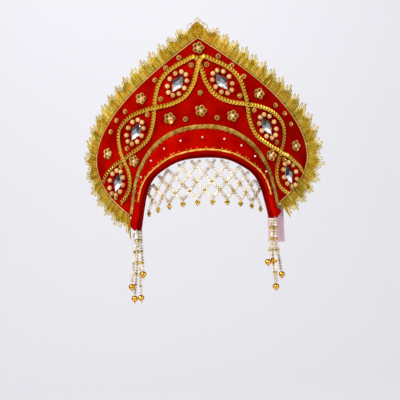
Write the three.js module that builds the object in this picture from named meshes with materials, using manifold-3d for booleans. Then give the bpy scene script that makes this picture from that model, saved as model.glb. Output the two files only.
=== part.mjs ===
// Kokoshnik headdress: a stiff pointed crest over a padded brow band, edged with gold lace,
// set with stones in rings of pearls, with a bead net over the brow and bead strings at the
// temples. Millimetres, +Z up, front towards -Y. The origin is the middle of the head opening,
// between the band's two tips.

import * as THREE from 'three';
import { mergeVertices } from 'three/addons/utils/BufferGeometryUtils.js';
import Module from 'manifold-3d';

const wasm = await Module();
wasm.setup();

// Sizes

const GAP = 0.3; // clearance between neighbouring pieces

// Crest: a panel bent round an upright axis. Its arch line carries the arch braid.
const BEND_RADIUS = 180;
const SEAT_BACK = 25; // from the front of the crown back to the middle of the head opening
const CREST_WALL = 3;
const ARCH_HALF_WIDTH = 92; // widths on the crest are measured along the bend
const ARCH_HEIGHT = 109.6;
const ARCH_SQUARENESS = 0.909; // 1 is an ellipse, less is squarer
const ARCH_FLARE = 4; // how far its feet spread beyond the half width
const ARCH_FLARE_HEIGHT = 30; // height at which they start to spread
const CREST_RISE = 105.8; // from the arch line to the apex
const CREST_SLOPE = 0.7; // fall of the edge beside the apex
const SHOULDER_REACH = 54; // from the arch line out to the widest point
const SHOULDER_HEIGHT = 73.2;
const CORNER_REACH = 3.5; // from the arch's half width out to the lower corners
const CORNER_HEIGHT_LEFT = 7.2;
const CORNER_HEIGHT_RIGHT = 16;
const SHOULDER_SHARE = 0.72; // share of each half that lies above the shoulder

// Lace border: its inner edge lies on the crest, its scallops stand free.
const LACE_WIDTH = 24;
const LACE_NOTCH = 6;
const LACE_LAP = 3;
const LACE_WALL = 1;
const LACE_SCALLOPS = 40;
const LACE_FLARE_LEFT = 0.05; // share of the crest's bend that the lace gives up
const LACE_FLARE_RIGHT = 0.8;
const LACE_FAN = 0.07; // share of the left half over which the lace turns down to the tip

// Brow band and facing: two walls that meet at a front ridge.
const BAND_WALL = 2.5;
const BAND_PADDING = 2; // bulge of the outer wall
const BAND_REACH = 30; // how far the ridge stands ahead of the crest
const BAND_DROP = 30.8; // how far the ridge lies inside the arch line
const FACING_WALL = 2;
const FACING_TURN = 18; // how far the facing turns back from the ridge
const FACING_DROP = 8; // how far its free edge lies inside the ridge
const TIP_DROP_LEFT = 10; // how far the tips hang below the opening's middle
const TIP_DROP_RIGHT = 2;
const BAND_STEPS = 36;

// Braids
const WAVE_BRAID_WIDTH = 4.8;
const ARCH_BRAID_WIDTH = 5;
const RIDGE_BRAID_WIDTH = 3.8;
const BRAID_WALL = 1.2;
const CROSSING_RAMP = 5; // length over which the upper braid climbs on to the lower one

// Stones with their pearl rings, and bead flowers
const STONE_LENGTH = 25;
const STONE_WIDTH = 14;
const STONE_GIRDLE = 1;
const STONE_HEIGHT = 4;
const PEARL_DIAMETER = 6;
const PEARLS_PER_RING = 10;
const RING_END_MARGIN = 2.9; // from the stone's long corners to the line of the pearls
const RING_SIDE_MARGIN = 3.4; // from its wide corners
const FLOWER_DIAMETER = 14;
const FLOWER_HEIGHT = 3.4;

// Bead net
const NET_RADIUS = 81; // bend of the net round the brow
const NET_PITCH = 18; // width of a diamond
const NET_DIAMOND_HEIGHT = 19.7;
const NET_MARGIN = 9; // from the facing's tips in to the outermost drops, across the front
const NET_BOTTOM = 23.5; // height of its lowest crossings at the middle
const NET_SAG = 11.5; // how much lower they lie at the sides
const NET_CLEARANCE = 0.9; // under the facing's free edge
const NET_STRAND = 2.6;
const NET_DROP_LENGTH = 6;
const NET_DROP_DIAMETER = 4.6;

// Bead strings
const STRING_DIAMETER = 3.2;
const STRING_PITCH = 3.6; // spacing of their sewn ends
const STRING_CLEARANCE = 1.2; // under the band's tip
const BALL_DIAMETER = 8;

// Ribbon tab
const RIBBON_WIDTH = 20;
const RIBBON_LENGTH = 46;
const RIBBON_WALL = 1;
const RIBBON_TOP = 12; // height of its sewn end

// Shares of the brow band's sizes at stations from its middle (0) to its tip (1)
const BAND_SECTIONS = [
  { at: 0.0, reach: 1.0, drop: 1.0, turn: 1.0, fall: 1.0 },
  { at: 0.25, reach: 0.93, drop: 0.99, turn: 1.0, fall: 0.78 },
  { at: 0.5, reach: 0.75, drop: 0.88, turn: 1.03, fall: 0.44 },
  { at: 0.75, reach: 0.47, drop: 0.555, turn: 1.22, fall: -0.17 },
  { at: 1.0, reach: 0.2, drop: 0.36, turn: 1.0, fall: -0.22 },
];

// Places on one half of the crest. along: 0 at the middle to 1 at the lower corner.
// out: 0 at the arch line to 1 at the edge. lean: degrees from upright.
const OUTER_WAVE = [
  { along: 0.025, out: 0.828 },
  { along: 0.07, out: 0.851 },
  { along: 0.12, out: 0.872 },
  { along: 0.16, out: 0.872 },
  { along: 0.19, out: 0.838 },
  { along: 0.212, out: 0.784 },
  { along: 0.24, out: 0.669 },
  { along: 0.268, out: 0.531 },
  { along: 0.302, out: 0.377 },
  { along: 0.365, out: 0.23 },
  { along: 0.43, out: 0.177 },
  { along: 0.512, out: 0.222 },
  { along: 0.588, out: 0.325 },
  { along: 0.618, out: 0.363 },
  { along: 0.665, out: 0.49 },
  { along: 0.723, out: 0.62 },
  { along: 0.763, out: 0.773 },
  { along: 0.8, out: 0.92 },
];
const INNER_WAVE = [
  { along: 0.01, out: 0.676 },
  { along: 0.02, out: 0.616 },
  { along: 0.03, out: 0.549 },
  { along: 0.05, out: 0.489 },
  { along: 0.075, out: 0.437 },
  { along: 0.113, out: 0.408 },
  { along: 0.16, out: 0.412 },
  { along: 0.21, out: 0.45 },
  { along: 0.268, out: 0.531 },
  { along: 0.325, out: 0.628 },
  { along: 0.378, out: 0.711 },
  { along: 0.432, out: 0.747 },
  { along: 0.478, out: 0.731 },
  { along: 0.517, out: 0.657 },
  { along: 0.557, out: 0.554 },
  { along: 0.588, out: 0.458 },
  { along: 0.618, out: 0.363 },
  { along: 0.66, out: 0.255 },
  { along: 0.708, out: 0.168 },
  { along: 0.758, out: 0.122 },
  { along: 0.81, out: 0.14 },
  { along: 0.86, out: 0.276 },
  { along: 0.905, out: 0.6 },
];
const WAVE_CENTRE = { along: 0, out: 0.74 };
const WAVE_CROSSINGS = [
  { along: 0, out: 0.71 },
  { along: 0.268, out: 0.531 },
  { along: 0.618, out: 0.363 },
];
const STONES = [
  { name: 'upper', along: 0.12, out: 0.63, lean: 35 },
  { name: 'middle', along: 0.427, out: 0.446, lean: 31 },
  { name: 'lower', along: 0.782, out: 0.452, lean: 18 },
];
const FLOWERS = [
  { name: 'top', along: 0, out: 0.892, paired: false },
  { name: 'centre', along: 0, out: 0.178, paired: false },
  { name: 'edge', along: 0.3, out: 0.813, paired: true },
  { name: 'arch', along: 0.208, out: 0.23, paired: true },
  { name: 'side', along: 0.628, out: 0.735, paired: true },
  { name: 'temple', along: 0.6, out: 0.16, paired: true },
];

// Free ends of the bead strings, in the order in which they are sewn along each tip from the
// front to the back. x is measured outward.
const LEFT_STRINGS = [
  { x: 78.2, y: -13, z: -65 },
  { x: 92.6, y: -10, z: -80 },
  { x: 82.1, y: -6, z: -94 },
  { x: 90.1, y: -2, z: -95 },
  { x: 78.5, y: 1, z: -66 },
];
const RIGHT_STRINGS = [
  { x: 82.2, y: -11, z: -87 },
  { x: 73.7, y: -10, z: -57 },
  { x: 90.3, y: -4, z: -73 },
  { x: 80.8, y: -2, z: -56 },
  { x: 83.0, y: 5, z: -88 },
];

// Finishes

const finish = (color, roughness, metalness = 0) =>
  new THREE.MeshStandardMaterial({ color, roughness, metalness });
const RED_CLOTH = finish(0xc0060f, 0.85);
const DARK_CLOTH = finish(0x7d0510, 0.9);
const GOLD_LACE = finish(0xd0a848, 0.45, 0.6);
const GOLD_BRAID = finish(0xd9a93a, 0.35, 0.8);
const DULL_BRAID = finish(0xa88a3c, 0.5, 0.6);
const CRYSTAL = finish(0xdfe6ea, 0.05, 0.4);
const CREAM_PEARL = finish(0xf0dcab, 0.25, 0.1);
const GOLD_BEAD = finish(0xdcab3e, 0.25, 0.9);
const WHITE_BEAD = finish(0xf5eee6, 0.25);
const PINK_SATIN = finish(0xf0d3d3, 0.5);

const headdress = new THREE.Group();

function add(name, geometry, material) {
  const mesh = new THREE.Mesh(geometry, material);
  mesh.name = name;
  headdress.add(mesh);
}

// Geometry helpers

const vec = (x, y, z) => new THREE.Vector3(x, y, z);

// Merges the shared corners and turns every face outward.
function closed(geometry) {
  geometry.deleteAttribute('normal');
  geometry.deleteAttribute('uv');
  const solid = mergeVertices(geometry, 1e-4);
  const place = solid.attributes.position;
  const index = solid.index.array;
  const corner = (i) => new THREE.Vector3().fromBufferAttribute(place, index[i]);
  let volume = 0;
  for (let i = 0; i < index.length; i += 3) {
    volume += corner(i).dot(corner(i + 1).cross(corner(i + 2)));
  }
  if (volume < 0) {
    for (let i = 0; i < index.length; i += 3) {
      [index[i], index[i + 1]] = [index[i + 1], index[i]];
    }
  }
  solid.computeVertexNormals();
  return solid;
}

// Moves every corner of a geometry to the point that the function gives for it.
function shaped(geometry, toPoint) {
  const place = geometry.attributes.position;
  for (let i = 0; i < place.count; i += 1) {
    const point = toPoint(place.getX(i), place.getY(i), place.getZ(i));
    place.setXYZ(i, point.x, point.y, point.z);
  }
  return closed(geometry);
}

// A wall between two surfaces, each a function of (along -1..1, across 0..1).
function wall(alongSteps, acrossSteps, front, back) {
  const box = new THREE.BoxGeometry(2, 1, 1, alongSteps, acrossSteps, 1);
  return shaped(box, (x, y, z) => (z > 0 ? front(x, y + 0.5) : back(x, y + 0.5)));
}

function toManifold(geometry) {
  const solid = closed(geometry);
  return new wasm.Manifold(new wasm.Mesh({
    numProp: 3,
    vertProperties: new Float32Array(solid.attributes.position.array),
    triVerts: new Uint32Array(solid.index.array),
  }));
}

function fused(geometries) {
  let whole = toManifold(geometries[0]);
  for (const geometry of geometries.slice(1)) {
    whole = whole.add(toManifold(geometry));
  }
  const mesh = whole.getMesh();
  const result = new THREE.BufferGeometry();
  result.setAttribute('position', new THREE.BufferAttribute(mesh.vertProperties, 3));
  result.setIndex(new THREE.BufferAttribute(mesh.triVerts, 1));
  result.computeVertexNormals();
  return result;
}

// Value of a column at a station, on a smooth line through the table's evenly spaced rows.
function column(table, name, station) {
  const last = table.length - 1;
  const place = Math.min(Math.abs(station), 1) * last;
  const row = Math.min(Math.floor(place), last - 1);
  const t = place - row;
  const value = (i) => table[Math.min(Math.max(i, 0), last)][name];
  const enter = row === 0 ? 0 : (value(row + 1) - value(row - 1)) / 2;
  const leave = (value(row + 2) - value(row)) / 2;
  const rise = value(row + 1) - value(row);
  return value(row) + t * enter + t * t * (3 * rise - 2 * enter - leave)
    + t * t * t * (enter + leave - 2 * rise);
}

// The crest's surface

// Point at a distance s round the bend, at height z, off millimetres ahead of the crest.
function onCrest(s, z, off) {
  const turn = s / BEND_RADIUS;
  const radius = BEND_RADIUS + off;
  return vec(radius * Math.sin(turn), BEND_RADIUS - SEAT_BACK - radius * Math.cos(turn), z);
}

function archLine(along) {
  const turn = (Math.PI / 2) * Math.min(Math.abs(along), 1);
  const side = ARCH_HALF_WIDTH * Math.sin(turn) ** ARCH_SQUARENESS;
  const height = ARCH_HEIGHT * Math.max(Math.cos(turn), 0) ** ARCH_SQUARENESS;
  const spread = ARCH_FLARE * Math.max(1 - height / ARCH_FLARE_HEIGHT, 0) ** 2;
  return new THREE.Vector2(Math.sign(along) * (side + spread), height);
}

const APEX = new THREE.Vector2(0, ARCH_HEIGHT + CREST_RISE);
const SHOULDER = new THREE.Vector2(ARCH_HALF_WIDTH + SHOULDER_REACH, SHOULDER_HEIGHT);

// The visible edge of one half: from the apex to the shoulder, then to the lower corner.
const UPPER_EDGE = new THREE.CubicBezierCurve(
  APEX,
  new THREE.Vector2(0.39 * SHOULDER.x, APEX.y - 0.39 * CREST_SLOPE * SHOULDER.x),
  new THREE.Vector2(SHOULDER.x, SHOULDER.y + 0.316 * (APEX.y - SHOULDER.y)),
  SHOULDER,
);

function lowerEdge(height) {
  const corner = new THREE.Vector2(ARCH_HALF_WIDTH + CORNER_REACH, height);
  return new THREE.CubicBezierCurve(
    SHOULDER,
    new THREE.Vector2(SHOULDER.x, SHOULDER.y - 0.427 * (SHOULDER.y - corner.y)),
    new THREE.Vector2(
      corner.x + 0.384 * (SHOULDER.x - corner.x),
      corner.y + 0.217 * (SHOULDER.y - corner.y),
    ),
    corner,
  );
}

const LOWER_LEFT_EDGE = lowerEdge(CORNER_HEIGHT_LEFT);
const LOWER_RIGHT_EDGE = lowerEdge(CORNER_HEIGHT_RIGHT);

function edgeLine(along) {
  const station = Math.min(Math.abs(along), 1);
  const lower = along < 0 ? LOWER_LEFT_EDGE : LOWER_RIGHT_EDGE;
  const point = station <= SHOULDER_SHARE
    ? UPPER_EDGE.getPoint(station / SHOULDER_SHARE)
    : lower.getPoint((station - SHOULDER_SHARE) / (1 - SHOULDER_SHARE));
  point.x *= Math.sign(along);
  return point;
}

// A line moved sideways by a distance: outward from the arch or the edge when positive.
function besides(line, along, distance) {
  const step = 0.002;
  const before = line(Math.max(along - step, -1));
  const after = line(Math.min(along + step, 1));
  const forward = after.sub(before).normalize();
  return line(along).add(new THREE.Vector2(-forward.y, forward.x).multiplyScalar(distance));
}

function crestPlace(along, out) {
  return archLine(along).lerp(edgeLine(along), out);
}

// Crest panel

// The panel's lip inside the arch line gives the brow band its seat, and fades at the tips.
const LIP = ARCH_BRAID_WIDTH / 2 + 0.5;
const lipAt = (along) => LIP + 1.6 * BAND_WALL * Math.cos((Math.PI / 2) * Math.abs(along));

function crestSurface(along, out, off) {
  const inner = besides(archLine, along, -lipAt(along));
  const outer = besides(edgeLine, along, LACE_LAP);
  const place = inner.lerp(outer, out);
  return onCrest(place.x, place.y, off);
}

add('crest_panel', wall(
  50,
  3,
  (along, out) => crestSurface(along, out, 0),
  (along, out) => crestSurface(along, out, -CREST_WALL),
), RED_CLOTH);

// Lace border

const LACE_STEPS = 2 * LACE_SCALLOPS;

// Even stations of the lace from the apex down one half of the edge.
function halfLace(lower) {
  const edge = new THREE.CurvePath();
  edge.add(UPPER_EDGE);
  edge.add(lower);
  return edge.getSpacedPoints(LACE_SCALLOPS);
}

const laceLine = [
  ...halfLace(LOWER_LEFT_EDGE).map((point) => new THREE.Vector2(-point.x, point.y)).reverse(),
  ...halfLace(LOWER_RIGHT_EDGE).slice(1),
];

// Outward direction at a lace station, lengthened where the lace turns a corner. At the left end
// the lace turns down along the band's tip.
function laceOut(station) {
  const before = laceLine[Math.max(station - 1, 0)];
  const here = laceLine[station];
  const after = laceLine[Math.min(station + 1, LACE_STEPS)];
  const forward = after.clone().sub(before).normalize();
  const fan = THREE.MathUtils.smoothstep(1 - (2 * station) / LACE_STEPS, 1 - LACE_FAN, 1);
  const side = new THREE.Vector2(-forward.y, forward.x).lerp(new THREE.Vector2(0, -1), fan);
  side.normalize();
  const leg = (station < LACE_STEPS ? after.clone().sub(here) : here.clone().sub(before)).normalize();
  return side.multiplyScalar(1 / Math.max(side.dot(new THREE.Vector2(-leg.y, leg.x)), 0.7));
}

// The lace leaves the crest straight, and on the right it flares towards the front.
function laceSurface(along, out, off) {
  const station = Math.round(((along + 1) / 2) * LACE_STEPS);
  const isTip = (station - LACE_SCALLOPS) % 2 === 0;
  const width = isTip ? LACE_WIDTH : LACE_WIDTH - LACE_NOTCH;
  const seam = laceLine[station];
  const reach = laceOut(station).multiplyScalar(out * width);
  const flare = along < 0 ? LACE_FLARE_LEFT : LACE_FLARE_RIGHT;
  const turn = (seam.x / BEND_RADIUS) * (1 - flare);
  return onCrest(seam.x, seam.y, off)
    .add(vec(Math.cos(turn) * reach.x, Math.sin(turn) * reach.x, reach.y));
}

add('lace_border', wall(
  LACE_STEPS,
  1,
  (along, out) => laceSurface(along, out, GAP + LACE_WALL),
  (along, out) => laceSurface(along, out, GAP),
), GOLD_LACE);

// Brow band and facing

// Point of the band's section at a station: reach ahead of the crest, drop inside the arch.
function inSection(along, reach, drop) {
  const place = besides(archLine, along, -drop);
  const fall = (along < 0 ? TIP_DROP_LEFT : TIP_DROP_RIGHT) * Math.abs(along) ** 8;
  const turn = archLine(along).x / BEND_RADIUS;
  const base = onCrest(place.x, place.y - fall, 0);
  return base.add(vec(Math.sin(turn), -Math.cos(turn), 0).multiplyScalar(reach));
}

// The section's corners as (reach, drop): where it leaves the crest, the ridge, the free edge.
function sectionCorners(along) {
  const share = (name) => column(BAND_SECTIONS, name, along);
  const start = new THREE.Vector2(GAP, LIP);
  const ridge = new THREE.Vector2(BAND_REACH * share('reach'), BAND_DROP * share('drop'));
  const free = new THREE.Vector2(
    ridge.x - FACING_TURN * share('turn'),
    ridge.y + FACING_DROP * share('fall'),
  );
  return { start, ridge, free };
}

// The outer wall's profile, from the crest (0) to the ridge (1), depth millimetres inside it.
function bandProfile(along, across, depth) {
  const { start, ridge, free } = sectionCorners(along);
  const leg = ridge.clone().sub(start);
  const inward = new THREE.Vector2(-leg.y, leg.x).normalize();
  if (inward.dot(free.clone().sub(ridge)) < 0) {
    inward.negate();
  }
  const bulge = BAND_PADDING * Math.sin(Math.PI * across) * column(BAND_SECTIONS, 'drop', along);
  const point = start.clone().lerp(ridge, across);
  point.addScaledVector(inward, depth - bulge);
  point.x = Math.max(point.x, GAP);
  return point;
}

function bandSurface(along, across, depth) {
  const point = bandProfile(along, across, depth);
  return inSection(along, point.x, point.y);
}

add('front_band', wall(
  BAND_STEPS,
  2,
  (along, across) => bandSurface(along, across, 0),
  (along, across) => bandSurface(along, across, BAND_WALL),
), RED_CLOTH);

// The facing starts just clear of the outer wall's inner side.
function facingProfile(along, across, depth) {
  const { start, ridge, free } = sectionCorners(along);
  const back = start.clone().sub(ridge).normalize();
  const leg = free.clone().sub(ridge);
  const length = leg.length();
  leg.normalize();
  const cosine = Math.abs(back.dot(leg));
  const sine = Math.max(Math.abs(back.cross(leg)), 0.5);
  const seam = (BAND_WALL + GAP + BAND_PADDING / 4 + FACING_WALL * cosine) / sine;
  const towards = back.addScaledVector(leg, -back.dot(leg)).normalize();
  const point = ridge.clone().addScaledVector(leg, seam + across * (length - seam));
  return point.addScaledVector(towards, depth);
}

function facingSurface(along, across, depth) {
  const point = facingProfile(along, across, depth);
  return inSection(along, point.x, point.y);
}

add('band_facing', wall(
  BAND_STEPS,
  1,
  (along, across) => facingSurface(along, across, 0),
  (along, across) => facingSurface(along, across, FACING_WALL),
), DARK_CLOTH);

// Braids

// The two braids wave across the crest and cross at the middle and twice on each half.
const mirror = (row) => ({ along: -row.along, out: row.out });

function waveLine(rows) {
  return new THREE.SplineCurve(rows.map((row) => crestPlace(row.along, row.out)));
}

const underLine = waveLine([
  ...[...OUTER_WAVE].reverse().map(mirror), WAVE_CENTRE, ...INNER_WAVE,
]);
const overLine = waveLine([
  ...[...INNER_WAVE].reverse().map(mirror), WAVE_CENTRE, ...OUTER_WAVE,
]);
const crossings = WAVE_CROSSINGS.flatMap((row) => [row, mirror(row)]).map(
  (row) => crestPlace(row.along, row.out),
);

// Height by which the upper braid stands over the lower one near a crossing.
function climb(place) {
  const nearest = Math.min(...crossings.map((crossing) => crossing.distanceTo(place)));
  const level = WAVE_BRAID_WIDTH * 1.75;
  const share = THREE.MathUtils.clamp(1 - (nearest - level) / CROSSING_RAMP, 0, 1);
  return (BRAID_WALL + GAP) * THREE.MathUtils.smoothstep(share, 0, 1);
}

function waveBraid(line, rises) {
  const surface = (along, across, top) => {
    const t = (along + 1) / 2;
    const place = line.getPointAt(t);
    const forward = line.getTangentAt(t);
    const off = GAP + (top ? BRAID_WALL : 0) + (rises ? climb(place) : 0);
    const side = new THREE.Vector2(-forward.y, forward.x);
    place.addScaledVector(side, (across - 0.5) * WAVE_BRAID_WIDTH);
    return onCrest(place.x, place.y, off);
  };
  return wall(
    50,
    1,
    (along, across) => surface(along, across, true),
    (along, across) => surface(along, across, false),
  );
}

add('wave_braid_under', waveBraid(underLine, false), GOLD_BRAID);
add('wave_braid_over', waveBraid(overLine, true), GOLD_BRAID);

// Shares of the way from the middle to the tips at which the band's two braids end.
const ARCH_BRAID_END = 0.91;
const RIDGE_BRAID_END = 0.86;

function archBraidSurface(along, across, off) {
  const side = (across - 0.5) * ARCH_BRAID_WIDTH;
  const place = besides(archLine, along * ARCH_BRAID_END, side);
  return onCrest(place.x, place.y, off);
}

add('arch_braid', wall(
  32,
  1,
  (along, across) => archBraidSurface(along, across, GAP + BRAID_WALL),
  (along, across) => archBraidSurface(along, across, GAP),
), DULL_BRAID);

// The ridge braid lies on the band's outer wall, along the ridge.
function ridgeBraidSurface(along, across, off) {
  const station = along * RIDGE_BRAID_END;
  const { start, ridge } = sectionCorners(station);
  const length = ridge.distanceTo(start);
  const share = 1 - (GAP + across * RIDGE_BRAID_WIDTH) / length;
  return bandSurface(station, share, -off);
}

add('ridge_braid', wall(
  30,
  1,
  (along, across) => ridgeBraidSurface(along, across, GAP + BRAID_WALL),
  (along, across) => ridgeBraidSurface(along, across, GAP),
), GOLD_BRAID);

// Stones, pearl rings and flowers

// Places a geometry with its flat side on the crest, leaning towards the right when positive.
function seated(geometry, place, lean) {
  const turn = place.x / BEND_RADIUS;
  const frame = new THREE.Matrix4().makeBasis(
    vec(Math.cos(turn), Math.sin(turn), 0),
    vec(0, 0, 1),
    vec(Math.sin(turn), -Math.cos(turn), 0),
  );
  frame.setPosition(onCrest(place.x, place.y, GAP));
  geometry.rotateZ(-THREE.MathUtils.degToRad(lean));
  return geometry.applyMatrix4(frame);
}

// Turns a lathe's profile of (radius, height) pairs about +Z.
function turned(profile, sides) {
  const points = profile.map(([radius, height]) => new THREE.Vector2(radius, height));
  const lathe = new THREE.LatheGeometry(points, sides);
  lathe.rotateX(Math.PI / 2);
  return lathe;
}

// A lozenge stone: a girdle, eight crown facets and a table.
function stone() {
  const lathe = turned([
    [0, 0],
    [1, 0],
    [1, STONE_GIRDLE],
    [0.5, STONE_HEIGHT],
    [0, STONE_HEIGHT],
  ], 8);
  const bow = 1.07;
  return shaped(lathe, (x, y, z) => {
    const angle = Math.atan2(y, x);
    const lozenge = 1 / (Math.abs(Math.cos(angle)) / STONE_WIDTH
      + Math.abs(Math.sin(angle)) / STONE_LENGTH);
    const onDiagonal = Math.abs(Math.sin(2 * angle)) > 0.5;
    const scale = (lozenge / 2) * (onDiagonal ? bow : 1);
    return vec(x * scale, y * scale, z);
  });
}

// Pearls threaded in an oval round the stone, whose long corners point between two of them.
// There are three sections to each pearl.
function pearlRing() {
  const across = STONE_WIDTH / 2 + RING_SIDE_MARGIN;
  const along = STONE_LENGTH / 2 + RING_END_MARGIN;
  const torus = new THREE.TorusGeometry(1, 0.1, 10, 3 * PEARLS_PER_RING);
  return shaped(torus, (x, y, z) => {
    const section = Math.round((Math.atan2(y, x) / (2 * Math.PI)) * 3 * PEARLS_PER_RING);
    const isThread = ((section % 3) + 3) % 3 === 0;
    const angle = Math.PI / 2 + (section * 2 * Math.PI) / (3 * PEARLS_PER_RING);
    const radius = (isThread ? 0.18 : 0.47) * PEARL_DIAMETER;
    const sideways = (Math.hypot(x, y) - 1) / 0.1;
    const upward = z / 0.1;
    const normal = new THREE.Vector2(Math.cos(angle) / across, Math.sin(angle) / along).normalize();
    return vec(
      across * Math.cos(angle) + normal.x * sideways * radius,
      along * Math.sin(angle) + normal.y * sideways * radius,
      PEARL_DIAMETER / 2 + upward * radius,
    );
  });
}

// Five petals round a raised centre bead.
function flower() {
  const lathe = turned([
    [0, 0],
    [1, 0],
    [1, 0.5 * FLOWER_HEIGHT],
    [0.34, 0.95 * FLOWER_HEIGHT],
    [0, FLOWER_HEIGHT],
  ], 15);
  return shaped(lathe, (x, y, z) => {
    const radius = Math.hypot(x, y);
    const part = Math.round((Math.atan2(y, x) / (2 * Math.PI)) * 15);
    const isNotch = ((part % 3) + 3) % 3 === 0;
    const scale = (FLOWER_DIAMETER / 2) * (radius > 0.5 && isNotch ? 0.68 : 1);
    return vec(x * scale, y * scale, z);
  });
}

const SIDES = [
  { name: 'left', sign: -1 },
  { name: 'right', sign: 1 },
];

for (const row of STONES) {
  for (const side of SIDES) {
    const place = crestPlace(side.sign * row.along, row.out);
    const lean = -side.sign * row.lean;
    add(`stone_${row.name}_${side.name}`, seated(stone(), place, lean), CRYSTAL);
    add(`pearls_${row.name}_${side.name}`, seated(pearlRing(), place, lean), CREAM_PEARL);
  }
}
for (const row of FLOWERS) {
  if (row.paired) {
    for (const side of SIDES) {
      const place = crestPlace(side.sign * row.along, row.out);
      add(`flower_${row.name}_${side.name}`, seated(flower(), place, 18), GOLD_BEAD);
    }
  } else {
    add(`flower_${row.name}`, seated(flower(), crestPlace(0, row.out), 18), GOLD_BEAD);
  }
}

// Bead net

const NET_FRONT = facingSurface(0, 1, 0).y;
const HALF_PITCH = NET_PITCH / 2;
const NET_SIDE = (facingSurface(1, 1, 0).x - NET_MARGIN) / NET_RADIUS;
const NET_REACH = NET_RADIUS * Math.asin(Math.min(NET_SIDE, 1));
// Half pitches from the middle to the outermost drop: an odd number
const NET_HALF = 2 * Math.floor((NET_REACH / HALF_PITCH + 1) / 2) - 1;
const HALF_DIAMOND = NET_DIAMOND_HEIGHT / 2;
const DIAGONAL = Math.hypot(HALF_PITCH, HALF_DIAMOND);
const NET_LAST_ROW = 4;

// Height of the facing's free edge over a point of the net, a way round the brow.
function freeEdgeHeight(way) {
  const x = (NET_RADIUS + NET_STRAND / 2) * Math.sin(Math.abs(way) / NET_RADIUS);
  let before = facingSurface(0, 1, 0);
  for (let step = 1; step <= BAND_STEPS / 2; step += 1) {
    const after = facingSurface(step / (BAND_STEPS / 2), 1, 0);
    if (after.x >= x) {
      return before.lerp(after, (x - before.x) / (after.x - before.x)).z;
    }
    before = after;
  }
  return before.z;
}

const crossingHeight = (way, row) => NET_BOTTOM
  - NET_SAG * (way / (NET_HALF * HALF_PITCH)) ** 2
  + (NET_LAST_ROW - row) * HALF_DIAMOND;

// Keeps the part of a polygon where the rule is positive.
function clipped(polygon, rule) {
  const kept = [];
  polygon.forEach((point, i) => {
    const next = polygon[(i + 1) % polygon.length];
    const here = rule(point);
    const there = rule(next);
    if (here >= 0) {
      kept.push(point);
    }
    if (here * there < 0) {
      kept.push(point.clone().lerp(next, here / (here - there)));
    }
  });
  return kept;
}

// The part of one diamond inside its four strands, the top cord and the net's sides.
function netHole(step, row) {
  const way = step * HALF_PITCH;
  const inset = (NET_STRAND / 2) * (DIAGONAL / HALF_DIAMOND);
  const rise = (NET_STRAND / 2) * (DIAGONAL / HALF_PITCH);
  const node = (dx, dRow) => new THREE.Vector2(
    way + dx * (HALF_PITCH - inset),
    crossingHeight(way + dx * HALF_PITCH, row + dRow) + dRow * rise,
  );
  let polygon = [node(0, 1), node(1, 0), node(0, -1), node(-1, 0)];
  const cord = NET_CLEARANCE + NET_STRAND / 2;
  for (const sign of [-1, 1]) {
    const near = freeEdgeHeight(way) - cord;
    const far = freeEdgeHeight(way + sign * HALF_PITCH) - cord;
    const slope = (far - near) / (sign * HALF_PITCH);
    polygon = clipped(polygon, (point) => near + slope * (point.x - way) - point.y);
    polygon = clipped(polygon, (point) => NET_HALF * HALF_PITCH - NET_STRAND / 2 - sign * point.x);
  }
  return polygon;
}

function netOutline() {
  const outline = [];
  const rise = (NET_STRAND / 2) * (DIAGONAL / HALF_PITCH);
  const side = NET_HALF * HALF_PITCH + NET_STRAND / 2;
  for (let step = -NET_HALF; step <= NET_HALF; step += 1) {
    const way = step * HALF_PITCH;
    const isLow = (step + NET_HALF) % 2 === 0;
    const row = isLow ? NET_LAST_ROW : NET_LAST_ROW - 1;
    outline.push(new THREE.Vector2(way, crossingHeight(way, row) - rise));
  }
  outline.push(new THREE.Vector2(side, crossingHeight(side, NET_LAST_ROW)));
  for (let step = NET_HALF; step >= -NET_HALF; step -= 1) {
    const way = Math.abs(step) === NET_HALF ? Math.sign(step) * side : step * HALF_PITCH;
    outline.push(new THREE.Vector2(way, freeEdgeHeight(way) - NET_CLEARANCE));
  }
  outline.push(new THREE.Vector2(-side, crossingHeight(side, NET_LAST_ROW)));
  return outline;
}

function onNet(way, z, depth) {
  const turn = way / NET_RADIUS;
  const radius = NET_RADIUS + depth;
  return vec(radius * Math.sin(turn), NET_FRONT + NET_RADIUS - radius * Math.cos(turn), z);
}

function beadNet() {
  const shape = new THREE.Shape(netOutline());
  for (let row = -2; row < NET_LAST_ROW; row += 1) {
    for (let step = -NET_HALF; step <= NET_HALF; step += 1) {
      const isCell = (step + row + NET_LAST_ROW + NET_HALF) % 2 !== 0;
      const hole = isCell ? netHole(step, row) : [];
      if (hole.length > 2 && Math.abs(THREE.ShapeUtils.area(hole)) > NET_STRAND ** 2) {
        shape.holes.push(new THREE.Path(hole));
      }
    }
  }
  const sheet = new THREE.ExtrudeGeometry(shape, { depth: NET_STRAND, bevelEnabled: false });
  return shaped(sheet, (way, z, depth) => onNet(way, z, depth - NET_STRAND / 2));
}

// A drop of beads under each lowest crossing.
function netDrop(step) {
  const way = step * HALF_PITCH;
  const drop = turned([
    [0, -NET_DROP_LENGTH],
    [NET_DROP_DIAMETER / 2, -0.6 * NET_DROP_LENGTH],
    [NET_DROP_DIAMETER / 4, 0],
    [0, 0],
  ], 10);
  const place = onNet(way, crossingHeight(way, NET_LAST_ROW) - NET_STRAND / 2, 0);
  return drop.translate(place.x, place.y, place.z);
}

const netParts = [beadNet()];
for (let step = -NET_HALF; step <= NET_HALF; step += 2) {
  netParts.push(netDrop(step));
}
add('bead_net', fused(netParts), WHITE_BEAD);

// Bead strings at the temples

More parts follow.
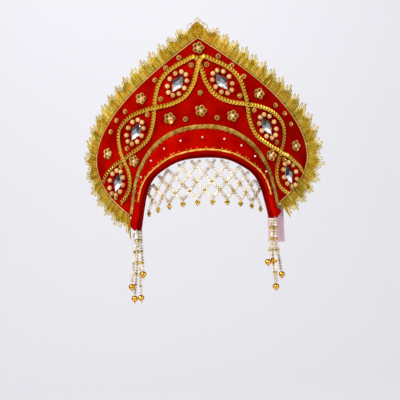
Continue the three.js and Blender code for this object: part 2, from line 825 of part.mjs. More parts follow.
// A string hangs from under the band's tip and ends in a ball.
function beadString(side, row, order) {
  const { ridge, free } = sectionCorners(1);
  const back = (order + 0.4) * STRING_PITCH;
  const share = back / (ridge.x - free.x);
  const drop = THREE.MathUtils.lerp(ridge.y, free.y, share) - FACING_WALL / 2;
  const top = inSection(side.sign, ridge.x - back, drop);
  top.z -= STRING_CLEARANCE;
  const end = vec(side.sign * row.x, row.y, row.z);
  const bend = vec(
    THREE.MathUtils.lerp(top.x, end.x, 0.35),
    THREE.MathUtils.lerp(top.y, end.y, 0.35),
    THREE.MathUtils.lerp(top.z, end.z, 0.3),
  );
  const section = new THREE.Shape();
  section.absarc(0, 0, STRING_DIAMETER / 2, 0, 2 * Math.PI);
  const path = new THREE.QuadraticBezierCurve3(top, bend, end);
  const steps = Math.round(path.getLength() / (3 * STRING_DIAMETER));
  const cord = new THREE.ExtrudeGeometry(section, {
    curveSegments: 4,
    steps,
    bevelEnabled: false,
    extrudePath: path,
  });
  const ball = new THREE.SphereGeometry(BALL_DIAMETER / 2, 10, 4);
  ball.translate(end.x, end.y, end.z);
  return fused([cord, ball]);
}

const BUNCHES = [
  { side: SIDES[0], rows: LEFT_STRINGS },
  { side: SIDES[1], rows: RIGHT_STRINGS },
];
for (const { side, rows } of BUNCHES) {
  rows.forEach((row, order) => {
    const name = `string_${side.name}_${order + 1}`;
    add(name, beadString(side, row, order), WHITE_BEAD);
  });
}

// Ribbon tab

// It is sewn behind the facing's right tip and hangs behind the bead strings.
const ribbonSeat = facingSurface(1, 1, FACING_WALL / 2);

function ribbonSurface(along, across, depth) {
  const x = ribbonSeat.x + RIBBON_WIDTH * (0.42 + along / 2);
  const y = ribbonSeat.y + GAP + FACING_WALL / 4 + 0.5 * (1 - Math.cos(2 * along + 2));
  return vec(x, y + depth, RIBBON_TOP - RIBBON_LENGTH * across);
}

add('ribbon_tab', wall(
  4,
  2,
  (along, across) => ribbonSurface(along, across, 0),
  (along, across) => ribbonSurface(along, across, RIBBON_WALL),
), PINK_SATIN);

export default headdress;
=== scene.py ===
import random
from math import atan2, copysign, cos, pi, radians, sin

import bmesh
import bpy
from bmesh.types import BMFace, BMVert
from mathutils import Matrix, Vector, noise


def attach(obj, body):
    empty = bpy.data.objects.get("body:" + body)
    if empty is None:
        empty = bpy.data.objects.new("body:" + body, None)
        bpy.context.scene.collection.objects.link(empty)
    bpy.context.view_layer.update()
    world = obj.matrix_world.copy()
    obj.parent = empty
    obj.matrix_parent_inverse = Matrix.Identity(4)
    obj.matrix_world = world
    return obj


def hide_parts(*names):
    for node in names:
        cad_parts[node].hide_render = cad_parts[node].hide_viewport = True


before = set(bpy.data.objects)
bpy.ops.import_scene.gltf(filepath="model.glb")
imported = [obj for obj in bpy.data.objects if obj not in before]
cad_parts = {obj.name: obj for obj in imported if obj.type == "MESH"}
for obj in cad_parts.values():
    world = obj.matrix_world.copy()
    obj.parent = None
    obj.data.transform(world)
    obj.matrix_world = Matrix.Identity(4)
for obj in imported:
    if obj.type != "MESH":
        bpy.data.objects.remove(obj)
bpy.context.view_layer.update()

# Sizes are in millimetres until a piece is finished. Places on the crest are measured round its
# bend, as a distance sideways and a height.
MM = 0.001
GAP = 0.3  # room between pieces that lie on each other
BEND_RADIUS = 180.0
SEAT_BACK = 25.0
CREST_WALL = 3.0
ARCH_HALF_WIDTH = 92.0
ARCH_HEIGHT = 109.6
ARCH_SQUARENESS = 0.909
ARCH_FLARE, ARCH_FLARE_HEIGHT = 4.0, 30.0
APEX = Vector((0, 215.4))
SHOULDER = Vector((146.0, 73.2))
CORNER_LEFT, CORNER_RIGHT = Vector((95.5, 7.2)), Vector((95.5, 16.0))
EDGE_SLOPE = 0.7
SHOULDER_SHARE = 0.72  # how much of the edge's length lies between apex and shoulder
# How far the edge keeps its direction at its bends, as shares of its reach
APEX_PULL, SHOULDER_PULL_UP, SHOULDER_PULL_DOWN = 0.39, 0.316, 0.427
CORNER_PULL_ACROSS, CORNER_PULL_UP = 0.384, 0.217
LINE_STEP = 0.002
CURVE_STEPS = 24

# Camera
FIELD_OF_VIEW = radians(20.9)
CAMERA_DISTANCE = 1300.0
CAMERA_AZIMUTH = radians(-1.0)
CAMERA_ROLL = radians(-2.5)
CAMERA_TARGET = Vector((-5.8, -25.0, 21.7))


# The crest's surface

def on_crest(s, z, off=0.0):
    """Point a distance s round the bend, at height z, off ahead of the crest."""
    turn = s / BEND_RADIUS
    radius = BEND_RADIUS + off
    return Vector((radius * sin(turn), BEND_RADIUS - SEAT_BACK - radius * cos(turn), z))


def crest_axes(s):
    """Sideways, upward and outward directions at a distance s round the bend."""
    turn = s / BEND_RADIUS
    return (
        Vector((cos(turn), sin(turn), 0)),
        Vector((0, 0, 1)),
        Vector((sin(turn), -cos(turn), 0)),
    )


def power(value, exponent):
    return max(value, 0.0) ** exponent


def eased(value):
    """The value kept from 0 to 1, with a soft start and end."""
    share = min(max(value, 0), 1)
    return share * share * (3 - 2 * share)


def arch_line(along):
    """The joint of crest and band: 0 at the top of the arch, 1 at its right foot."""
    turn = pi / 2 * min(abs(along), 1)
    side = ARCH_HALF_WIDTH * power(sin(turn), ARCH_SQUARENESS)
    height = ARCH_HEIGHT * power(cos(turn), ARCH_SQUARENESS)
    spread = ARCH_FLARE * max(1 - height / ARCH_FLARE_HEIGHT, 0) ** 2
    return Vector((copysign(side + spread, along), height))


def bezier(a, b, c, d, t):
    """Point of the curve from a to d that b and c pull on."""
    u = 1 - t
    return a * u ** 3 + b * (3 * u * u * t) + c * (3 * u * t * t) + d * t ** 3


def edge_line(along):
    """The crest's visible edge: 0 at the apex, 1 at the right lower corner."""
    station = min(abs(along), 1)
    if station <= SHOULDER_SHARE:
        rise = APEX.y - SHOULDER.y
        place = bezier(
            APEX,
            Vector((APEX_PULL * SHOULDER.x, APEX.y - APEX_PULL * EDGE_SLOPE * SHOULDER.x)),
            Vector((SHOULDER.x, SHOULDER.y + SHOULDER_PULL_UP * rise)),
            SHOULDER,
            station / SHOULDER_SHARE,
        )
    else:
        corner = CORNER_LEFT if along < 0 else CORNER_RIGHT
        reach = SHOULDER - corner
        place = bezier(
            SHOULDER,
            Vector((SHOULDER.x, SHOULDER.y - SHOULDER_PULL_DOWN * reach.y)),
            corner + Vector((CORNER_PULL_ACROSS * reach.x, CORNER_PULL_UP * reach.y)),
            corner,
            (station - SHOULDER_SHARE) / (1 - SHOULDER_SHARE),
        )
    return Vector((copysign(place.x, along), place.y))


def besides(line, along, distance):
    """A line moved sideways: outward from the arch or the edge when positive."""
    before = line(max(along - LINE_STEP, -1))
    after = line(min(along + LINE_STEP, 1))
    forward = (after - before).normalized()
    return line(along) + Vector((-forward.y, forward.x)) * distance


def crest_place(along, out):
    """Place on the crest: out is 0 on the arch line and 1 on the edge."""
    return arch_line(along).lerp(edge_line(along), out)


def smooth_line(rows):
    """Points of a smooth line through the rows' places, about half a millimetre apart."""
    places = [crest_place(along, out) for along, out in rows]
    points = []
    for i in range(len(places) - 1):
        a = places[max(i - 1, 0)]
        b, c = places[i], places[i + 1]
        d = places[min(i + 2, len(places) - 1)]
        enter, leave = (c - a) / 2, (d - b) / 2
        for step in range(CURVE_STEPS):
            t = step / CURVE_STEPS
            points.append(
                (2 * (b - c) + enter + leave) * t ** 3
                + (3 * (c - b) - 2 * enter - leave) * t * t + enter * t + b
            )
    points.append(places[-1])
    return points


def evenly(points, count=None, pitch=None):
    """(place, forward) at even steps along a line of points."""
    lengths = [0.0]
    for before, after in zip(points, points[1:]):
        lengths.append(lengths[-1] + (after - before).length)
    total = lengths[-1]
    count = count or max(int(round(total / pitch)), 1)
    stations = []
    row = 0
    for step in range(count + 1):
        wanted = total * step / count
        while row < len(points) - 2 and lengths[row + 1] < wanted:
            row += 1
        span = points[row + 1] - points[row]
        share = (wanted - lengths[row]) / max(lengths[row + 1] - lengths[row], 1e-9)
        stations.append((points[row] + span * share, span.normalized()))
    return stations


# The brow band's sections: shares of reach, drop, turn and fall, from the middle to the tip

BAND_REACH, BAND_DROP, BAND_WALL, BAND_PADDING = 30.0, 30.8, 2.5, 2.4
FOLD, HEM = 4.0, 8.5  # from the ridge: where the cloth starts to turn over it, where it ends
FACING_TURN, FACING_DROP, FACING_WALL = 18.0, 8.0, 2.0
SEAM_ROOM, LEAST_SINE = 0.5, 0.5  # at the ridge, between the band's wall and the facing
TIP_DROP_LEFT, TIP_DROP_RIGHT = 10.0, 2.0
LIP, LIP_SHARE = 3.0, 1.6  # the panel's lip inside the arch line, and its share of the band's wall
BAND_SHARES = {
    "reach": (1.0, 0.93, 0.75, 0.47, 0.2),
    "drop": (1.0, 0.99, 0.88, 0.555, 0.36),
    "turn": (1.0, 1.0, 1.03, 1.22, 1.0),
    "fall": (1.0, 0.78, 0.44, -0.17, -0.22),
}


def band_share(name, along):
    """A share of the band's section, smoothed between the rows."""
    values = BAND_SHARES[name]
    last = len(values) - 1
    place = min(abs(along), 1) * last
    row = min(int(place), last - 1)
    t = place - row

    def value(i):
        return values[min(max(i, 0), last)]

    enter = 0 if row == 0 else (value(row + 1) - value(row - 1)) / 2
    leave = (value(row + 2) - value(row)) / 2
    rise = value(row + 1) - value(row)
    return (value(row) + t * enter + t * t * (3 * rise - 2 * enter - leave)
            + t ** 3 * (enter + leave - 2 * rise))


def in_section(along, reach, drop):
    """Point of the band's section: reach ahead of the crest, drop inside the arch line."""
    place = besides(arch_line, along, -drop)
    outward = crest_axes(arch_line(along).x)[2]
    fall = (TIP_DROP_LEFT if along < 0 else TIP_DROP_RIGHT) * abs(along) ** 8
    return on_crest(place.x, place.y - fall) + outward * reach


def section_corners(along):
    """The band's start on the crest, its ridge and its facing's free edge, as reach and drop."""
    start = Vector((GAP, LIP))
    ridge = Vector((BAND_REACH * band_share("reach", along), BAND_DROP * band_share("drop", along)))
    free = ridge + Vector((
        -FACING_TURN * band_share("turn", along), FACING_DROP * band_share("fall", along)))
    return start, ridge, free


def band_length(along):
    start, ridge, _ = section_corners(along)
    return (start - ridge).length


def on_band(along, way, off=0.0):
    """Point of the band's cloth, off its face: way from the ridge towards the crest when positive,
    and over the fold, towards the facing's free edge, when negative."""
    start, ridge, free = section_corners(along)
    back = (start - ridge).normalized()
    leg = (free - ridge).normalized()
    outward = Vector((back.y, -back.x))
    if outward.dot(leg) > 0:
        outward.negate()
    if abs(way) < FOLD:
        t = (FOLD - way) / (2 * FOLD)
        above, below = ridge + back * FOLD, ridge + leg * FOLD
        point = above * (1 - t) ** 2 + ridge * (2 * t * (1 - t)) + below * t * t
    else:
        point = ridge + (back * way if way > 0 else leg * -way)
    share = min(max(way / band_length(along), 0), 1)
    bulge = BAND_PADDING * sin(pi * share) * band_share("drop", along)
    point = point + outward * (bulge + off)
    return in_section(along, max(point.x, GAP), point.y)


def on_facing(along, across, depth=0.0):
    """Point of the facing, from the ridge (0) to its free edge (1), depth inside it."""
    start, ridge, free = section_corners(along)
    back = (start - ridge).normalized()
    leg = free - ridge
    length = leg.length
    leg.normalize()
    cosine = abs(back.dot(leg))
    sine = max(abs(back.cross(leg)), LEAST_SINE)
    seam = (BAND_WALL + GAP + SEAM_ROOM + FACING_WALL * cosine) / sine
    towards = (back - leg * back.dot(leg)).normalized()
    point = ridge + leg * (seam + across * (length - seam)) + towards * depth
    return in_section(along, point.x, point.y)


# Colours, as red, green and blue from 0 to 255

def tint(red, green, blue):
    """Linear colour of a display colour."""
    linear = [((c / 255 + 0.055) / 1.055) ** 2.4 if c > 10 else c / 255 / 12.92
              for c in (red, green, blue)]
    return (*linear, 1.0)


class Finish:
    """A node material built round one principled shader."""

    def __init__(self, name, roughness, **sockets):
        self.material = bpy.data.materials.new(name)
        self.material.use_nodes = True
        self.nodes = self.material.node_tree.nodes
        self.links = self.material.node_tree.links
        self.shader = self.nodes["Principled BSDF"]
        self.shader.inputs["Roughness"].default_value = roughness
        for socket, value in sockets.items():
            self.shader.inputs[socket.replace("_", " ")].default_value = value

    def node(self, kind, **sockets):
        made = self.nodes.new(kind)
        for socket, value in sockets.items():
            key = socket.replace("_", " ")
            if isinstance(value, bpy.types.NodeSocket):
                self.links.new(value, made.inputs[key])
            else:
                made.inputs[key].default_value = value
        return made

    def coordinates(self, scale=(1, 1, 1), source="Object"):
        place = self.node("ShaderNodeTexCoord")
        mapping = self.node("ShaderNodeMapping", Vector=place.outputs[source])
        mapping.inputs["Scale"].default_value = scale
        return mapping.outputs["Vector"]

    def noise(self, scale, detail, where=None):
        where = where or self.coordinates()
        made = self.node("ShaderNodeTexNoise", Vector=where, Scale=scale, Detail=detail)
        return made.outputs["Fac"]

    def ramp(self, factor, *stops):
        made = self.node("ShaderNodeValToRGB", Fac=factor)
        ramp = made.color_ramp
        while len(ramp.elements) < len(stops):
            ramp.elements.new(0.5)
        for element, (place, colour) in zip(ramp.elements, stops):
            element.position = place
            element.color = colour
        return made.outputs["Color"]

    def colour(self, output):
        self.links.new(output, self.shader.inputs["Base Color"])

    def bump(self, height, strength, distance):
        made = self.node("ShaderNodeBump", Height=height, Strength=strength)
        made.inputs["Distance"].default_value = distance * MM
        self.links.new(made.outputs["Normal"], self.shader.inputs["Normal"])


def sum_of(finish, a, b, share):
    """Two heights mixed, with the given share of the second."""
    made = finish.nodes.new("ShaderNodeMix")
    made.inputs["Factor"].default_value = share
    finish.links.new(a, made.inputs["A"])
    finish.links.new(b, made.inputs["B"])
    return made.outputs["Result"]


def cloth_finish(name, low, high, glow):
    """Matte pile cloth: blotches a few centimetres wide over a pile finer than a millimetre."""
    finish = Finish(name, 0.85, Specular_IOR_Level=0.0, Sheen_Weight=0.015, Sheen_Roughness=0.5,
                    Sheen_Tint=glow)
    blotches = finish.noise(38, 2)
    pile = finish.noise(1500, 3)
    finish.colour(finish.ramp(sum_of(finish, blotches, pile, 0.45), (0.36, low), (0.62, high)))
    finish.bump(pile, 0.35, 0.35)
    return finish.material


def thread_finish(name, dark, middle, light, roughness, metallic):
    """Metallic thread: twist marks and worn, duller stretches."""
    finish = Finish(name, roughness, Metallic=metallic, Specular_IOR_Level=0.15)
    worn = finish.noise(160, 2)
    twist = finish.noise(1400, 1)
    finish.colour(finish.ramp(
        sum_of(finish, worn, twist, 0.55), (0.33, dark), (0.5, middle), (0.66, light)))
    finish.bump(twist, 0.4, 0.25)
    return finish.material


def mottled_finish(name, dark, middle, light, warm):
    """Close lace ground: threads of four shades, mixed in specks and in wider drifts; the dark
    specks are partly painted shadow between the threads.
    """
    finish = Finish(name, 0.55, Metallic=0.3, Specular_IOR_Level=0.15)
    specks = finish.noise(520, 3)
    drift = finish.noise(95, 2)
    threads = finish.ramp(specks, (0.34, dark), (0.46, middle), (0.6, light))
    tinted = finish.nodes.new("ShaderNodeMix")
    tinted.data_type = "RGBA"
    share = finish.ramp(drift, (0.45, (0, 0, 0, 1)), (0.68, (0.55, 0.55, 0.55, 1)))
    finish.links.new(share, tinted.inputs["Factor"])
    finish.links.new(threads, tinted.inputs[6])
    tinted.inputs[7].default_value = warm
    finish.colour(tinted.outputs[2])
    finish.bump(finish.noise(900, 2), 0.6, 0.5)
    return finish.material


def cup_finish(name, hollow, side, rim, roughness, metallic):
    """Plated sequins: painted shade in the hollow, a painted highlight along the rim, faintly
    stained.
    """
    finish = Finish(name, roughness, Metallic=metallic, Specular_IOR_Level=0.2)
    # The attribute holds painted light: low in the hollows for painted shade, high on the rims for
    # painted highlights
    depth = finish.node("ShaderNodeAttribute")
    depth.attribute_name = "painted_light"
    stain = finish.noise(500, 1)
    level = sum_of(finish, depth.outputs["Fac"], stain, 0.2)
    finish.colour(finish.ramp(level, (0.12, hollow), (0.5, side), (0.84, rim)))
    return finish.material


def plate_finish(name, dark, light, roughness):
    """Polished plating with a faint stain in random patches."""
    finish = Finish(name, roughness, Metallic=1.0)
    stain = finish.noise(420, 2)
    finish.colour(finish.ramp(stain, (0.35, dark), (0.58, light)))
    finish.bump(finish.noise(900, 1), 0.08, 0.2)
    return finish.material


def pearl_finish(name, low, high, coat=0.7):
    """Pearl lustre: drifts of two shades under a clear coat, no two beads quite alike."""
    finish = Finish(name, 0.28, Coat_Weight=coat, Coat_Roughness=0.12)
    clouds = finish.noise(130, 2)
    finish.colour(finish.ramp(clouds, (0.38, low), (0.6, high)))
    finish.bump(finish.noise(700, 1), 0.06, 0.2)
    return finish.material


RED_CLOTH = cloth_finish("red_cloth", tint(112, 0, 0), tint(164, 8, 0), tint(255, 90, 60))
# The red cloth painted lighter as painted light, for the band, which faces the key lamp
LIT_RED_CLOTH = cloth_finish("lit_red_cloth", tint(136, 0, 0), tint(186, 10, 0), tint(255, 90, 60))
# The same red cloth painted darker as painted shade, for the facing under the ridge
SHADED_RED_CLOTH = cloth_finish("dark_cloth", tint(96, 0, 0), tint(140, 4, 2), tint(230, 80, 60))
LACE_THREAD = thread_finish(
    "lace_thread", tint(188, 152, 24), tint(228, 196, 64), tint(252, 238, 150),
    roughness=0.42, metallic=0.3)
LACE_WARM = thread_finish(
    "lace_warm", tint(180, 112, 8), tint(218, 152, 24), tint(240, 190, 64),
    roughness=0.42, metallic=0.3)
# Darker olive thread: partly the lace's own olive, partly painted shade among the loops and bars
LACE_SHADE = thread_finish(
    "lace_shade", tint(106, 84, 6), tint(156, 128, 18), tint(196, 168, 44),
    roughness=0.5, metallic=0.3)
# The ground's dark colour is partly painted shadow between the lace's threads
LACE_GROUND = mottled_finish(
    "lace_ground", tint(92, 68, 2), tint(160, 124, 8), tint(206, 172, 36), tint(200, 124, 16))
LACE_CORD = thread_finish(
    "lace_cord", tint(196, 130, 70), tint(232, 176, 112), tint(250, 216, 166),
    roughness=0.5, metallic=0.15)
# Dark brown thread for the painted shadow along the lace's inner edge
SHADOW_THREAD = thread_finish(
    "shadow_thread", tint(40, 16, 4), tint(70, 34, 8), tint(110, 66, 20),
    roughness=0.6, metallic=0.1)
BRIGHT_BRAID = thread_finish(
    "bright_braid", tint(140, 84, 8), tint(220, 156, 44), tint(255, 224, 134),
    roughness=0.4, metallic=0.35)
# The dull braid is the bright braid's gold darkened as painted shade, for the arch braid and its
# picots
SHADED_BRAID = thread_finish(
    "dull_braid", tint(70, 42, 8), tint(158, 112, 34), tint(226, 186, 100),
    roughness=0.46, metallic=0.35)
BALL_GOLD = plate_finish("ball_gold", tint(190, 126, 24), tint(236, 184, 74), roughness=0.2)
OLIVE_GOLD = plate_finish("olive_gold", tint(126, 96, 16), tint(226, 190, 70), roughness=0.28)
# In the cup finishes the first colour is the painted shade of the hollows and the last the painted
# highlight of the rims
SEQUIN_GOLD = cup_finish(
    "sequin_gold", tint(70, 32, 2), tint(220, 160, 24), tint(255, 232, 110),
    roughness=0.32, metallic=0.45)
FLOWER_GOLD = cup_finish(
    "flower_gold", tint(92, 66, 12), tint(176, 128, 40), tint(246, 204, 124),
    roughness=0.34, metallic=0.5)
CREAM_PEARL = pearl_finish("cream_pearl", tint(184, 128, 56), tint(224, 176, 106))
PALE_PEARL = pearl_finish("pale_pearl", tint(226, 180, 166), tint(246, 222, 208))
WHITE_BEAD = pearl_finish("white_bead", tint(184, 160, 130), tint(242, 232, 212), coat=0.4)


def stone_finish():
    """Mirror-backed crystal with painted reflections: every facet has its own painted shade."""
    finish = Finish("crystal", 0.06, Metallic=0.85, Coat_Weight=1.0, Coat_Roughness=0.02)
    shade = finish.node("ShaderNodeAttribute")
    shade.attribute_name = "painted_reflection"
    finish.colour(finish.ramp(
        shade.outputs["Fac"], (0.0, tint(70, 78, 78)), (0.35, tint(150, 160, 172)),
        (0.7, tint(226, 232, 240)), (1.0, tint(255, 255, 255))))
    return finish.material


def satin_finish():
    """Pale satin: fine threads along the ribbon."""
    finish = Finish(
        "pink_satin", 0.38, Sheen_Weight=0.4, Sheen_Roughness=0.3, Anisotropic=0.6)
    where = finish.coordinates((240, 18, 1), "UV")
    weft = finish.noise(1, 2, where)
    finish.colour(finish.ramp(weft, (0.3, tint(202, 156, 174)), (0.7, tint(228, 194, 204))))
    finish.bump(weft, 0.2, 0.15)
    return finish.material


CRYSTAL = stone_finish()
PINK_SATIN = satin_finish()


# Making pieces

def only(kind, parts):
    return [part for part in parts if isinstance(part, kind)]


def link(thing):
    bpy.context.scene.collection.objects.link(thing)


def meshed(name, bm, material, smooth=True):
    """Turns a bmesh into an object."""
    for face in bm.faces:
        face.smooth = smooth
    mesh = bpy.data.meshes.new(name)
    bm.to_mesh(mesh)
    bm.free()
    mesh.materials.append(material)
    return bpy.data.objects.new(name, mesh)


def dress(piece, slot, nodes=()):
    """Links a piece, lets it ride on the body and hides the nodes it replaces. The slot is not
    used.
    """
    link(piece)
    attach(piece, "root")
    if nodes:
        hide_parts(*nodes)
    return piece


def finished(name, bm, material, slot, nodes=(), smooth=True):
    """Turns a bmesh in millimetres into a piece."""
    bmesh.ops.scale(bm, vec=(MM, MM, MM), verts=bm.verts)
    return dress(meshed(name, bm, material, smooth), slot, nodes)


def threads(name, runs, radius, material, slot, sides=1):
    """Round threads along runs of points."""
    curve = bpy.data.curves.new(name, "CURVE")
    curve.dimensions = "3D"
    curve.bevel_depth = radius * MM
    curve.bevel_resolution = sides
    curve.use_fill_caps = True
    for run in runs:
        spline = curve.splines.new("POLY")
        spline.points.add(len(run) - 1)
        for point, place in zip(spline.points, run):
            point.co = (*(place * MM), 1)
    curve.materials.append(material)
    dress(bpy.data.objects.new(name, curve), slot)


def cloth_piece(name, place, grid, wall, rim, material, slot, node, front=(0, -1, 0)):
    """A sheet of so many columns and rows whose corners lie where place(u, v) says, with u and v
    from 0 to 1. Its wall lies behind the face that looks along front, and its rim is rounded."""
    bm = bmesh.new()
    bm.loops.layers.uv.new("UVMap")
    bmesh.ops.create_grid(bm, x_segments=grid[0], y_segments=grid[1], size=0.5, calc_uvs=True)
    for corner in bm.verts:
        corner.co = place(corner.co.x + 0.5, corner.co.y + 0.5)
    bmesh.ops.recalc_face_normals(bm, faces=bm.faces)
    middle = bm.faces[:][len(bm.faces) // 2]
    if middle.normal.dot(Vector(front)) < 0:
        bmesh.ops.reverse_faces(bm, faces=bm.faces)
    bmesh.ops.solidify(bm, geom=bm.faces[:], thickness=wall)
    bmesh.ops.recalc_face_normals(bm, faces=bm.faces)
    sharp = [edge for edge in bm.edges if len(edge.link_faces) == 2
             and edge.calc_face_angle() > radians(60)]
    bmesh.ops.bevel(bm, geom=sharp, offset=rim, segments=2, profile=0.5, affect="EDGES",
                    material=-1)
    return finished(name, bm, material, slot, [node])


def crest_matrix(place, off=GAP, lean=0.0):
    """Matrix of a small piece on the crest: x sideways, y upward, z outward, leaning in degrees."""
    right, up, outward = crest_axes(place.x)
    turned = Matrix((right, up, outward)).transposed() @ Matrix.Rotation(-radians(lean), 3, "Z")
    return Matrix.Translation(on_crest(place.x, place.y, off)) @ turned.to_4x4()


def cups(seats, radius, depth, rim_share, hollow, rim, glow):
    """Cup sequins at the seats' matrices, hollow side out. Each facet is marked with painted light:
    hollow in the hollow, as painted shade, and rim on the rim, as a painted highlight that grows
    towards the glow's direction."""
    bm = bmesh.new()
    edge = bmesh.ops.create_circle(bm, cap_ends=True, segments=12, radius=radius)["verts"]
    floor = edge[0].link_faces[0]
    bmesh.ops.inset_region(bm, faces=[floor], use_boundary=True, thickness=radius * rim_share)
    bmesh.ops.translate(bm, vec=(0, 0, -depth), verts=floor.verts)
    # Painted light per facet: painted shade in the hollow, painted highlight on the rim
    layer = bm.faces.layers.float.new("painted_light")
    for face in bm.faces:
        middle = face.calc_center_median().xy / radius
        face[layer] = hollow if middle.length < 0.1 else rim + Vector(glow).dot(middle)
    bmesh.ops.solidify(bm, geom=bm.faces[:], thickness=0.2)
    template = bm.verts[:] + bm.edges[:] + bm.faces[:]
    for seat in seats:
        copy = bmesh.ops.duplicate(bm, geom=template)["geom"]
        bmesh.ops.transform(bm, matrix=seat, verts=only(BMVert, copy))
    bmesh.ops.delete(bm, geom=only(BMVert, template), context="VERTS")
    return bm


def bead(bm, place, radius, squash=1.0, axis=None, around=8):
    """A round bead; squash flattens it along its thread's axis."""
    matrix = Matrix.Translation(place)
    if axis is not None:
        matrix = matrix @ axis.to_track_quat("Z", "Y").to_matrix().to_4x4()
    matrix = matrix @ Matrix.Diagonal((1, 1, squash, 1))
    bmesh.ops.create_uvsphere(
        bm, u_segments=around, v_segments=max(around // 2 + 1, 4), radius=radius, matrix=matrix)


# Camera, light and stage

def add_camera():
    back = Vector((sin(CAMERA_AZIMUTH), -cos(CAMERA_AZIMUTH), 0))
    data = bpy.data.cameras.new("camera")
    data.angle = FIELD_OF_VIEW
    camera = bpy.data.objects.new("camera", data)
    camera.location = (CAMERA_TARGET + back * CAMERA_DISTANCE) * MM
    turn = back.to_track_quat("Z", "Y").to_matrix() @ Matrix.Rotation(CAMERA_ROLL, 3, "Z")
    camera.rotation_euler = turn.to_euler()
    link(camera)
    bpy.context.scene.camera = camera


def add_light(name, place, size, watts, aim=Vector((0, 0, 0.08))):
    """A round lamp, placed in metres, that looks at the aim."""
    data = bpy.data.lights.new(name, "AREA")
    data.shape = "DISK"
    data.size = size
    data.energy = watts
    light = bpy.data.objects.new(name, data)
    light.location = place
    light.rotation_euler = (Vector(place) - aim).to_track_quat("Z", "Y").to_euler()
    link(light)


def add_stage():
    """A pale floor that curves up into a backdrop."""
    floor, front, wall, top, bend, side = -0.42, -2.2, 2.3, 2.6, 1.0, 4.0
    bend_steps = 16
    bm = bmesh.new()
    profile = [Vector((-side, front, floor)), Vector((-side, wall - bend, floor))]
    for step in range(1, bend_steps + 1):
        turn = pi / 2 * step / bend_steps
        profile.append(Vector((
            -side, wall - bend + bend * sin(turn), floor + bend * (1 - cos(turn)))))
    profile.append(Vector((-side, wall, top)))
    corners = [bm.verts.new(place) for place in profile]
    edges = [bm.edges.new(pair) for pair in zip(corners, corners[1:])]
    swept = bmesh.ops.extrude_edge_only(bm, edges=edges)["geom"]
    bmesh.ops.translate(bm, vec=(2 * side, 0, 0), verts=only(BMVert, swept))
    bmesh.ops.recalc_face_normals(bm, faces=bm.faces)
    paper = Finish("paper", 0.9, Base_Color=tint(222, 222, 226),
                   Emission_Color=tint(250, 250, 255), Emission_Strength=0.21)
    stage = meshed("backdrop", bm, paper.material)
    link(stage)


def add_world():
    world = bpy.data.worlds.new("studio")
    world.use_nodes = True
    shade = world.node_tree.nodes["Background"]
    shade.inputs["Color"].default_value = (0.98, 0.98, 1.0, 1.0)
    shade.inputs["Strength"].default_value = 0.31
    bpy.context.scene.world = world


bpy.context.scene.view_settings.view_transform = "Standard"
add_camera()
add_stage()
add_world()
add_light("key", (-1.0, -1.3, 1.1), size=0.45, watts=36)
add_light("fill", (1.2, -1.3, 0.4), size=0.7, watts=10)
add_light("backdrop_glow", (-0.2, 1.0, 1.7), size=0.6, watts=8, aim=Vector((0, 2.3, 0.8)))


# Crest, band and facing

SEAT_LEFT, SEAT_RIGHT = 0.97, 0.935  # how far down the arch the panel's inner edge goes
UNDER_LACE = 3.0  # how far the panel's cloth goes under the lace
BAND_CLOTH, BAND_RIPPLE = 1.8, 0.35
TIP_WIDENING, TIP_HEM_CUT = 7.5, 4.5  # at the tips: cloth added by the crest, cut at the hem
TIP_ROUNDING, CREST_SIDE_ROUNDING = 2.5, 3.0
FACING_INSET = 0.6


def lip_at(along):
    return LIP + LIP_SHARE * BAND_WALL * cos(pi / 2 * abs(along))


def add_crest():
    def place(u, v):
        along = 2 * u - 1
        seat = along * (SEAT_LEFT if along < 0 else SEAT_RIGHT)
        inner = besides(arch_line, seat, -lip_at(seat))
        outer = besides(edge_line, along, UNDER_LACE)
        spot = inner.lerp(outer, v)
        soft = noise.noise(Vector((spot.x, spot.y, 0)) * 0.05) * 0.25
        return on_crest(spot.x, spot.y, soft)

    cloth_piece("crest_cloth", place, grid=(220, 24), wall=CREST_WALL, rim=0.15,
                material=RED_CLOTH, slot="red_cloth", node="crest_panel")


def add_band():
    """The band's cloth, folded over the ridge with rounded tips, and the facing under its hem."""
    def place(u, v):
        along = 2 * u - 1
        tip = abs(along) ** 8
        way = (band_length(along) + TIP_WIDENING * tip) * (1 - v) - (HEM - TIP_HEM_CUT * tip) * v
        spot = on_band(along, way)
        ripple = noise.noise(spot * 0.09) * BAND_RIPPLE * sin(pi * v)
        rounding = TIP_ROUNDING + CREST_SIDE_ROUNDING * (1 - v)
        round_end = rounding * (2 * v - 1) ** 2 * abs(along) ** 40
        return spot + Vector((0, -ripple, ripple + round_end))

    # The band wears the red cloth painted lighter as painted light
    cloth_piece("band_cloth", place, grid=(180, 36), wall=BAND_CLOTH, rim=0.6,
                material=LIT_RED_CLOTH, slot="red_cloth", node="front_band", front=(0, -1, 0.6))
    # The facing wears the red cloth painted darker as painted shade
    cloth_piece("facing_cloth", lambda u, v: on_facing(2 * u - 1, v, FACING_INSET),
                grid=(160, 8), wall=FACING_WALL - FACING_INSET, rim=0.4,
                material=SHADED_RED_CLOTH, slot="dark_cloth", node="band_facing", front=(0, -1, -0.6))


# Lace border

